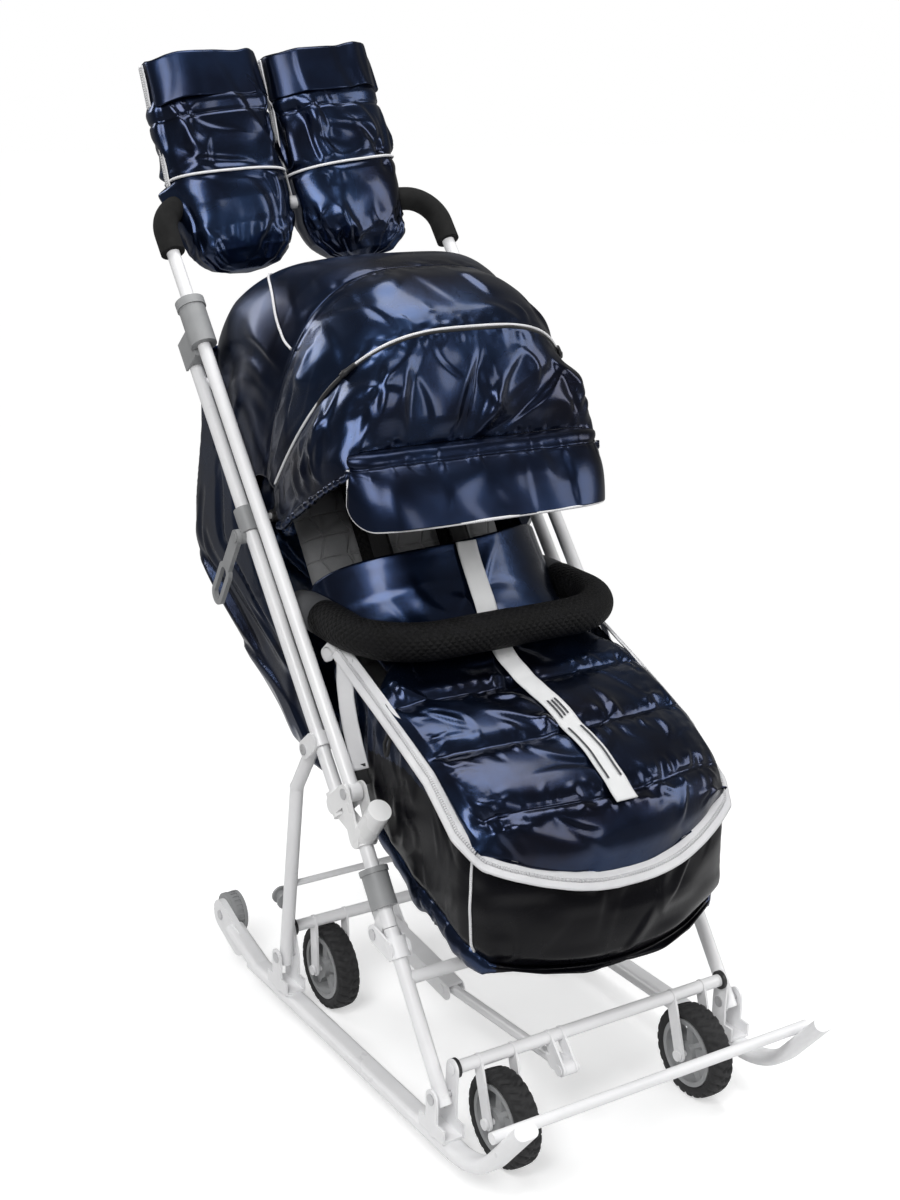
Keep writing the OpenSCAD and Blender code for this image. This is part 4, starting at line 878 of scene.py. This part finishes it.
# Strap down the middle of the cover, with plain stripes: where each begins and ends along it, and its x.
STRAP_HALF, STRAP_COLS, STRAP_END_Z = 15, 9, 441
STRIPES = ((0.60, 0.68, -6), (0.595, 0.675, 0), (0.59, 0.67, 6), (0.72, 0.93, -9), (0.72, 0.93, 9))
rows = [i for i in range(1, QUILT_ROWS) if spine[i, 1] > STRAP_END_Z]
centre = np.array([[np.interp(0, quilt_s[i, :, 0], quilt_s[i, :, k]) for k in (1, 2)] for i in rows])
for _ in range(30):
    centre[1:-1] = 0.5 * centre[1:-1] + 0.25 * (centre[:-2] + centre[2:])
strap_x = np.linspace(-STRAP_HALF, STRAP_HALF, STRAP_COLS)
strap_p = np.stack(np.broadcast_arrays(strap_x, centre[:, :1], centre[:, 1:]), -1)
strap_n = normals(strap_p, LOOK_UP)
strap_p = strap_p + strap_n * (5.0 + 0.7 * noise(strap_p / 24, 96)[..., None])
strap = place(grid("cover.strap", strap_p, STRAP, toward=strap_n, thick=1.6), "back_frame")
for i, (a, b, x) in enumerate(STRIPES):
    part = strap_p[int(a * len(rows)): int(b * len(rows))]
    line = np.array([[np.interp(x, r[:, 0], r[:, k]) for k in range(3)] for r in part]) + [0, -0.5, 1.2]
    place(ribbon(f"cover.stripe.{i}", line, [1, 0, 0], 2.6, STRIPE, 0.5, 3), "back_frame")

# Pull tabs at the sides of the bag.
for i, s in enumerate(SIDES):
    tab_way = [s * 0.40, 0.83, -0.39]
    line = spline([(s * 193, 78, 552), (s * 201, 62, 520), (s * 204, 42, 475), (s * 202, 22, 430)], 40)
    tab = ribbon(f"bag.tab.{i}", line, tab_way, 25, TAPE, 1.8, 9, 0.8, 5 + i)
    place(tab, "back_frame")
    line = spline([(s * 202.5, 25, 436), (s * 202, 19, 421), (s * 200, 16, 412)], 12)
    place(ribbon(f"bag.tab.end.{i}", line, tab_way, 20, BELT, 2.6, 7), "back_frame")
    loop = [(0, 0, 0), (s * 4, -3, -12), (s * 5, 2, -27), (s * 4, 8, -14), (0, 5, -1)]
    line = spline(np.array([s * 194.0, -38, 494]) + loop, 40)
    place(tube(f"bag.pull.{i}", line, 2.2, BELT, 10), "back_frame")

# Bumper bar in a net sleeve with plain ends: half of it in plan, then mirrored and tilted.
BAR_RISE, BAR_REACH, BAR_HALF, BEND_R, BAR_POINTS = math.radians(1), 202.6, 180, 86.4, 300
BAR_Y, BAR_Z, BAR_R, NET_FROM = 8, 583, 24, 62
BEND_X = BAR_HALF - BEND_R


def tilted(p):
    """Lifts a path of the bumper from its plan to its place."""
    p = np.asarray(p, float)
    return np.stack([p[:, 0], BAR_Y + p[:, 1] * math.cos(BAR_RISE), BAR_Z + p[:, 1] * math.sin(BAR_RISE)], -1)


bend = np.linspace(0, math.pi / 2, 30)
bar = [(BAR_HALF, BAR_REACH + 8)] + [(BAR_HALF, y) for y in np.linspace(BAR_REACH - 9, BEND_R, 40)]
bar += [(BEND_X + BEND_R * math.cos(t), BEND_R - BEND_R * math.sin(t)) for t in bend]
bar = np.array(bar + [(x, 0) for x in np.linspace(BEND_X, 0, 24)])
bar = resample(tilted(np.vstack([bar, (bar * [-1, 1])[::-1]])), BAR_POINTS)
step = steps(bar)
from_end = np.minimum(step, step[-1] - step)
thickness = BAR_R - 4.5 * (1 - smooth(0, 26, from_end)) - 0.9 * bell(from_end - 64, 5)
thickness = thickness + 0.5 * noise_at(step / 40, 0, 0, 12)
cut = int(np.searchsorted(step, NET_FROM))
netted = slice(cut, BAR_POINTS - cut)
sleeve = tube("bumper.net", bar[netted], thickness[netted], NET, 40, False)
place(sleeve, "back_frame", ("bumper_bar",))
for i, part in enumerate((slice(0, cut + 1), slice(BAR_POINTS - 1 - cut, BAR_POINTS))):
    end = tube(f"bumper.sleeve.{i}", bar[part], thickness[part] - 0.2, SLEEVE, 40)
    place(end, "back_frame")
for i, s in enumerate(SIDES):
    line = tilted([(s * BAR_HALF, BAR_REACH)]) + [[s * k, 0, 0] for k in (0, 6, 12, 20, 28)]
    stub = tube(f"bumper.stub.{i}", line, [7.2, 7.2, 6.8, 6.8, 6.8], GREY, 20)
    place(stub, "back_frame")

# Seat lining, backrest and shoulder pads.
BRICK_W, BRICK_H = 62, 44


def bricks(x, y):
    """Grooves between rows of bricks whose long joints zigzag."""
    row = y / BRICK_H + 0.16 * (2 * np.abs((x / BRICK_W) % 1 - 0.5) - 0.5) * 2
    a = np.abs(row - np.round(row)) * BRICK_H
    b = (x / BRICK_W + 0.5 * (np.floor(row + 0.5) % 2)) % 1
    b = np.minimum(b, 1 - b) * BRICK_W
    return 1.2 - 2.6 * bell(a, 2.6) - 2.2 * bell(b, 2.4)


BACK_SLOPE, SHOULDER_X = math.radians(56), 61.2
back_way = np.array([0, math.cos(BACK_SLOPE), math.sin(BACK_SLOPE)])
back_out = np.array([0, -math.sin(BACK_SLOPE), math.cos(BACK_SLOPE)])
back_axes = ([1, 0, 0], back_way, back_out)
back_mid = np.array([0, 113.4, 409.8]) + back_way * 216
pad = pillow("backrest.pad", back_mid, back_axes, (305, 430, 30), LINING, 150, 200, bricks)
place(pad, "backrest", ("backrest_pad",))
seat = pillow("seat.pad", [0, 7, 396], np.eye(3), (305, 170, 29), LINING, 110, 80, bricks)
place(seat, "back_frame", ("seat_pad",))
shoulder = back_mid + back_out * 31 + back_way * 78
# The belt over each pad: x, way up the backrest and way out of it.
BELT_LINE = ((SHOULDER_X, 100, -1), (SHOULDER_X, 60, 13), (SHOULDER_X, -60, 14), (60, -110, 6), (52, -200, 3))
for i, s in enumerate(SIDES):
    at = shoulder + [s * SHOULDER_X, 0, 0]
    p = pillow(f"harness.pad.{i}", at, back_axes, (47, 158, 13), NET, 40, 80, None, 0.25)
    place(p, "backrest", ("harness_pads",) if i == 0 else ())
    line = spline([shoulder + [s * x, 0, 0] + back_way * up + back_out * out for x, up, out in BELT_LINE], 60)
    place(ribbon(f"harness.strap.{i}", line, [1, 0, 0], 25, BELT, 1.6), "backrest")

# Mitts on the handle's bar: shares of their half width and half depth along their length.
HANDLE, HANDLE_LEN = np.array([0, 12.0, 408.0]), 854
LEAN, TIP = math.radians(18), math.radians(5)
MITT_HALF_W, MITT_HALF_D, MITT_LONG, MITT_BAR, MITT_COLS = 86, 46, 300, 0.35, 190
MITT_AT = [0, 0.012, 0.04, 0.10, 0.2, 0.32, 0.45, 0.6, 0.75, 0.88, 1.0]
MITT_WIDE = [0.06, 0.34, 0.60, 0.83, 0.95, 0.99, 1.0, 0.985, 0.95, 0.93, 0.92]
MITT_DEEP = [0.05, 0.30, 0.52, 0.76, 0.95, 1.0, 0.97, 0.90, 0.84, 0.80, 0.74]
mitt_x, mitt_y = np.array([1, 0, 0]), np.array([0, math.cos(LEAN), -math.sin(LEAN)])
mitt_z = np.array([0, math.sin(LEAN), math.cos(LEAN)])
bar_mid = HANDLE + np.array([0, math.cos(FRAME_SLOPE), math.sin(FRAME_SLOPE)]) * HANDLE_LEN
tip_x = mitt_x * math.cos(TIP) + mitt_z * math.sin(TIP)
tip_z = mitt_z * math.cos(TIP) - mitt_x * math.sin(TIP)


def mitt_shape(k, a, fat=0.0):
    """Points of a mitt at a share k of its length and an angle a round it, fat further out."""
    w = np.interp(k, MITT_AT, MITT_WIDE) * MITT_HALF_W + fat
    d = np.interp(k, MITT_AT, MITT_DEEP) * MITT_HALF_D + fat
    c, s = np.cos(a), np.sin(a)
    x, y = w * np.sign(c) * np.abs(c) ** 0.75, d * np.sign(s) * np.abs(s) ** 0.8
    return np.stack([x, y, (k - MITT_BAR) * MITT_LONG + 0 * a], -1)


def mitt_place(local, s):
    """Puts a mitt on the bar: both lean the same way, and the far one sits a little higher."""
    at = bar_mid + [s * 89.4 - 18, 0, 0] + (8 if s < 0 else 18) * mitt_z
    return at + local[..., :1] * tip_x + local[..., 1:2] * mitt_y + local[..., 2:] * tip_z


def pipe_at(a, s):
    """Where the piping runs round a mitt, as a share of its length."""
    return 0.445 + 0.012 * np.cos(a) * s


def round_strokes(a, z, kind, more_seed):
    """Creases that carry on where the way round a mitt closes."""
    shifts = (-MITT_ROUND, 0, MITT_ROUND)
    return sum(strokes(a / TURN * MITT_ROUND + shift, z, kind, more_seed=more_seed) for shift in shifts)


a = np.linspace(0, TURN, MITT_COLS, endpoint=False)
shell_k = np.r_[np.linspace(0, 0.1, 26)[:-1], np.linspace(0.1, 0.9, 120)]
# The cuff goes up outside, over its edge and down inside; cuff_out is how far it stands off the mitt.
CUFF_INSIDE = 34
cuff_k = np.r_[0.80, np.linspace(0.79, 0.99, 26), np.linspace(1.0, 0.995, 6), np.linspace(0.985, 0.80, 18)]
cuff_out = np.r_[0, np.linspace(4.5, 3, 26), np.linspace(2.4, 0, 6), np.linspace(-2, -6, 18)][:, None]
cuff_pick = np.zeros((len(cuff_k), MITT_COLS), int)
cuff_pick[CUFF_INSIDE:] = 1
zip_k = np.linspace(0.33, 0.985, 80)
for i, s in enumerate(SIDES):
    side = "left" if s < 0 else "right"
    more = 37 * i
    seed = 200 + more
    kk, aa = np.meshgrid(shell_k, a, indexing="ij")
    p = mitt_shape(kk, aa)
    closed = np.concatenate([p[:, -1:], p, p[:, :1]], 1)
    n = normals(closed, closed - [0, 0, 40])[:, 1:-1]
    pipe = np.abs(kk - pipe_at(aa, s)) * MITT_LONG
    d = sum(round_strokes(aa, p[..., 2], kind, more) for kind in ("mitt upper", "mitt lower", "mitt end"))
    gathers = ridge(np.stack([p[..., 0] / 14, p[..., 2] / 40, p[..., 1] / 14], -1), seed + 2)
    d = d + 1.5 * bell(kk - 0.15, 0.06) * gathers
    d = d * smooth(0, 14, pipe) * smooth(0.0, 0.04, kk) - 1.6 * bell(pipe, 6)
    d = d - 2.6 * bell(kk - 0.72, 0.008) + 3 * bell(kk - 0.77, 0.03)
    shell = mitt_place(p + n * d[..., None], s)
    mitt = place(grid(f"mitt.{side}", shell, NAVY, wrap=True), "handle", (f"mitt_{side}",))
    kk, aa = np.meshgrid(cuff_k, a, indexing="ij")
    p = mitt_shape(kk + 0.012 * noise_at(np.cos(aa) * 1.8, np.sin(aa) * 1.8, i, seed + 4), aa)
    w = np.maximum(np.linalg.norm(p[..., :2], axis=-1, keepdims=True), 1)
    d = cuff_out + round_strokes(aa, p[..., 2], "mitt cuff", more) * smooth(0, 2, np.abs(cuff_out))
    p[..., :2] += p[..., :2] / w * d[..., None]
    cuff = grid(f"mitt.cuff.{side}", mitt_place(p, s), [SMOOTH, INNER], wrap=True, pick=cuff_pick)
    place(cuff, "handle")
    ring = mitt_shape(pipe_at(a, s), a, 0.8)
    ring = mitt_place(np.vstack([ring, ring[:1]]), s)
    place(tube(f"mitt.piping.{side}", ring, 1.9, PIPING, 10, False), "handle")
    line = mitt_shape(zip_k, np.full(len(zip_k), np.pi))
    line[:, 0] -= 1.5 + 5.0 * smooth(0.765, 0.80, zip_k)
    zipper = ribbon(f"mitt.zip.{side}", mitt_place(line, s), mitt_y, 13, TAPE, 1.6, 7, 0.6, seed)
    place(zipper, "handle")
    teeth = tube(f"mitt.teeth.{side}", mitt_place(line - [1.6, 0, 0], s), 1.8, TEETH, 8)
    place(teeth, "handle")

# Camera, as fitted to the photograph: its focal length is in pixels of a picture 1200 high.
FOCAL, PICTURE_H, SENSOR = 1731.4, 1200, 36
cam_data = bpy.data.cameras.new("camera")
cam = bpy.data.objects.new("camera", cam_data)
bpy.context.scene.collection.objects.link(cam)
az, el, tilt = math.radians(-32.16), math.radians(16.52), math.radians(0.47)
back = Vector((math.sin(az) * math.cos(el), -math.cos(az) * math.cos(el), math.sin(el)))
right0 = Vector((math.cos(az), math.sin(az), 0))
up0 = back.cross(right0)
right = math.cos(tilt) * right0 + math.sin(tilt) * up0
up = -math.sin(tilt) * right0 + math.cos(tilt) * up0
eye = metres([-1158.24, -1700.56, 1230.50])
cam.matrix_world = Matrix([(right[i], up[i], back[i], eye[i]) for i in range(3)] + [(0, 0, 0, 1)])
cam_data.lens = FOCAL * SENSOR / PICTURE_H
cam_data.sensor_width = SENSOR
cam_data.clip_end = 100
bpy.context.scene.camera = cam


# Studio, in metres.
def lamp(name, at, to, size, power, tall=None):
    data = bpy.data.lights.new(name, "AREA")
    data.energy, data.size = power, size
    if tall:
        data.shape, data.size_y = "RECTANGLE", tall
    o = bpy.data.objects.new(name, data)
    o.location = at
    o.rotation_euler = (Vector(to) - Vector(at)).to_track_quat("-Z", "Y").to_euler()
    bpy.context.scene.collection.objects.link(o)


lamp("key", (-2.0, -1.7, 2.6), (0, 0, 0.6), 1.3, 72, tall=1.9)
lamp("fill", (2.4, -1.6, 1.6), (0, 0, 0.6), 1.2, 34, tall=2.0)
lamp("top", (0.3, 0.3, 3.2), (0, 0.1, 0.6), 1.6, 46)
lamp("rim", (-1.6, 2.3, 2.0), (0, 0.2, 0.8), 1.0, 24)
lamp("front", (0.6, -3.2, 1.5), (0, 0, 0.5), 0.8, 16, tall=1.4)


def seen_straight(t, ray):
    """One where the camera looks straight at it."""
    return maths(t, "MAXIMUM", ray.outputs["Is Camera Ray"], ray.outputs["Is Transmission Ray"])


# The floor takes shadows near the object and glows white further out; glossy rays see a part of its glow.
FLOOR_FAR, GLOSSY_PART = 30, 0.25
floor_mesh = bpy.data.meshes.new("floor")
floor_corners = [(-FLOOR_FAR, -FLOOR_FAR, 0), (FLOOR_FAR, -FLOOR_FAR, 0), (FLOOR_FAR, FLOOR_FAR, 0),
                 (-FLOOR_FAR, FLOOR_FAR, 0)]
floor_mesh.from_pydata(floor_corners, [], [(0, 1, 2, 3)])
floor = bpy.data.objects.new("floor", floor_mesh)
bpy.context.scene.collection.objects.link(floor)
floor_material = bpy.data.materials.new("floor")
floor_material.use_nodes = True
ft = floor_material.node_tree
fb = ft.nodes["Principled BSDF"]
fb.inputs["Roughness"].default_value = 0.9
fb.inputs["Specular IOR Level"].default_value = 0.1
fb.inputs["Emission Color"].default_value = (1, 1, 1, 1)
spot = add(ft, "ShaderNodeTexCoord").outputs["Object"]
away = add(ft, "ShaderNodeVectorMath", {0: spot}, operation="LENGTH").outputs["Value"]
fade = add(ft, "ShaderNodeMapRange", {"Value": away, "From Min": 0.7, "From Max": 1.7},
           interpolation_type="SMOOTHSTEP").outputs["Result"]
tone = add(ft, "ShaderNodeValToRGB", {"Fac": fade})
tone.color_ramp.elements[0].color = (0.80, 0.80, 0.80, 1)
tone.color_ramp.elements[1].color = (0, 0, 0, 1)
ft.links.new(tone.outputs["Color"], fb.inputs["Base Color"])
ray = add(ft, "ShaderNodeLightPath")
shine = maths(ft, "MULTIPLY", ray.outputs["Is Glossy Ray"], GLOSSY_PART)
seen = maths(ft, "MAXIMUM", seen_straight(ft, ray), shine)
level = add(ft, "ShaderNodeMapRange", {"Value": fade, "To Min": 0.42, "To Max": 1.0}).outputs["Result"]
ft.links.new(maths(ft, "MULTIPLY", seen, level), fb.inputs["Emission Strength"])
floor_mesh.materials.append(floor_material)

# The world is white to the camera and dim to everything else.
world = bpy.data.worlds.new("studio")
bpy.context.scene.world = world
world.use_nodes = True
wt = world.node_tree
wb = wt.nodes["Background"]
wb.inputs["Color"].default_value = (1, 1, 1, 1)
straight = seen_straight(wt, add(wt, "ShaderNodeLightPath"))
level = add(wt, "ShaderNodeMapRange", {"Value": straight, "To Min": 0.16, "To Max": 1.0})
wt.links.new(level.outputs["Result"], wb.inputs["Strength"])
bpy.context.scene.view_settings.view_transform = "Standard"
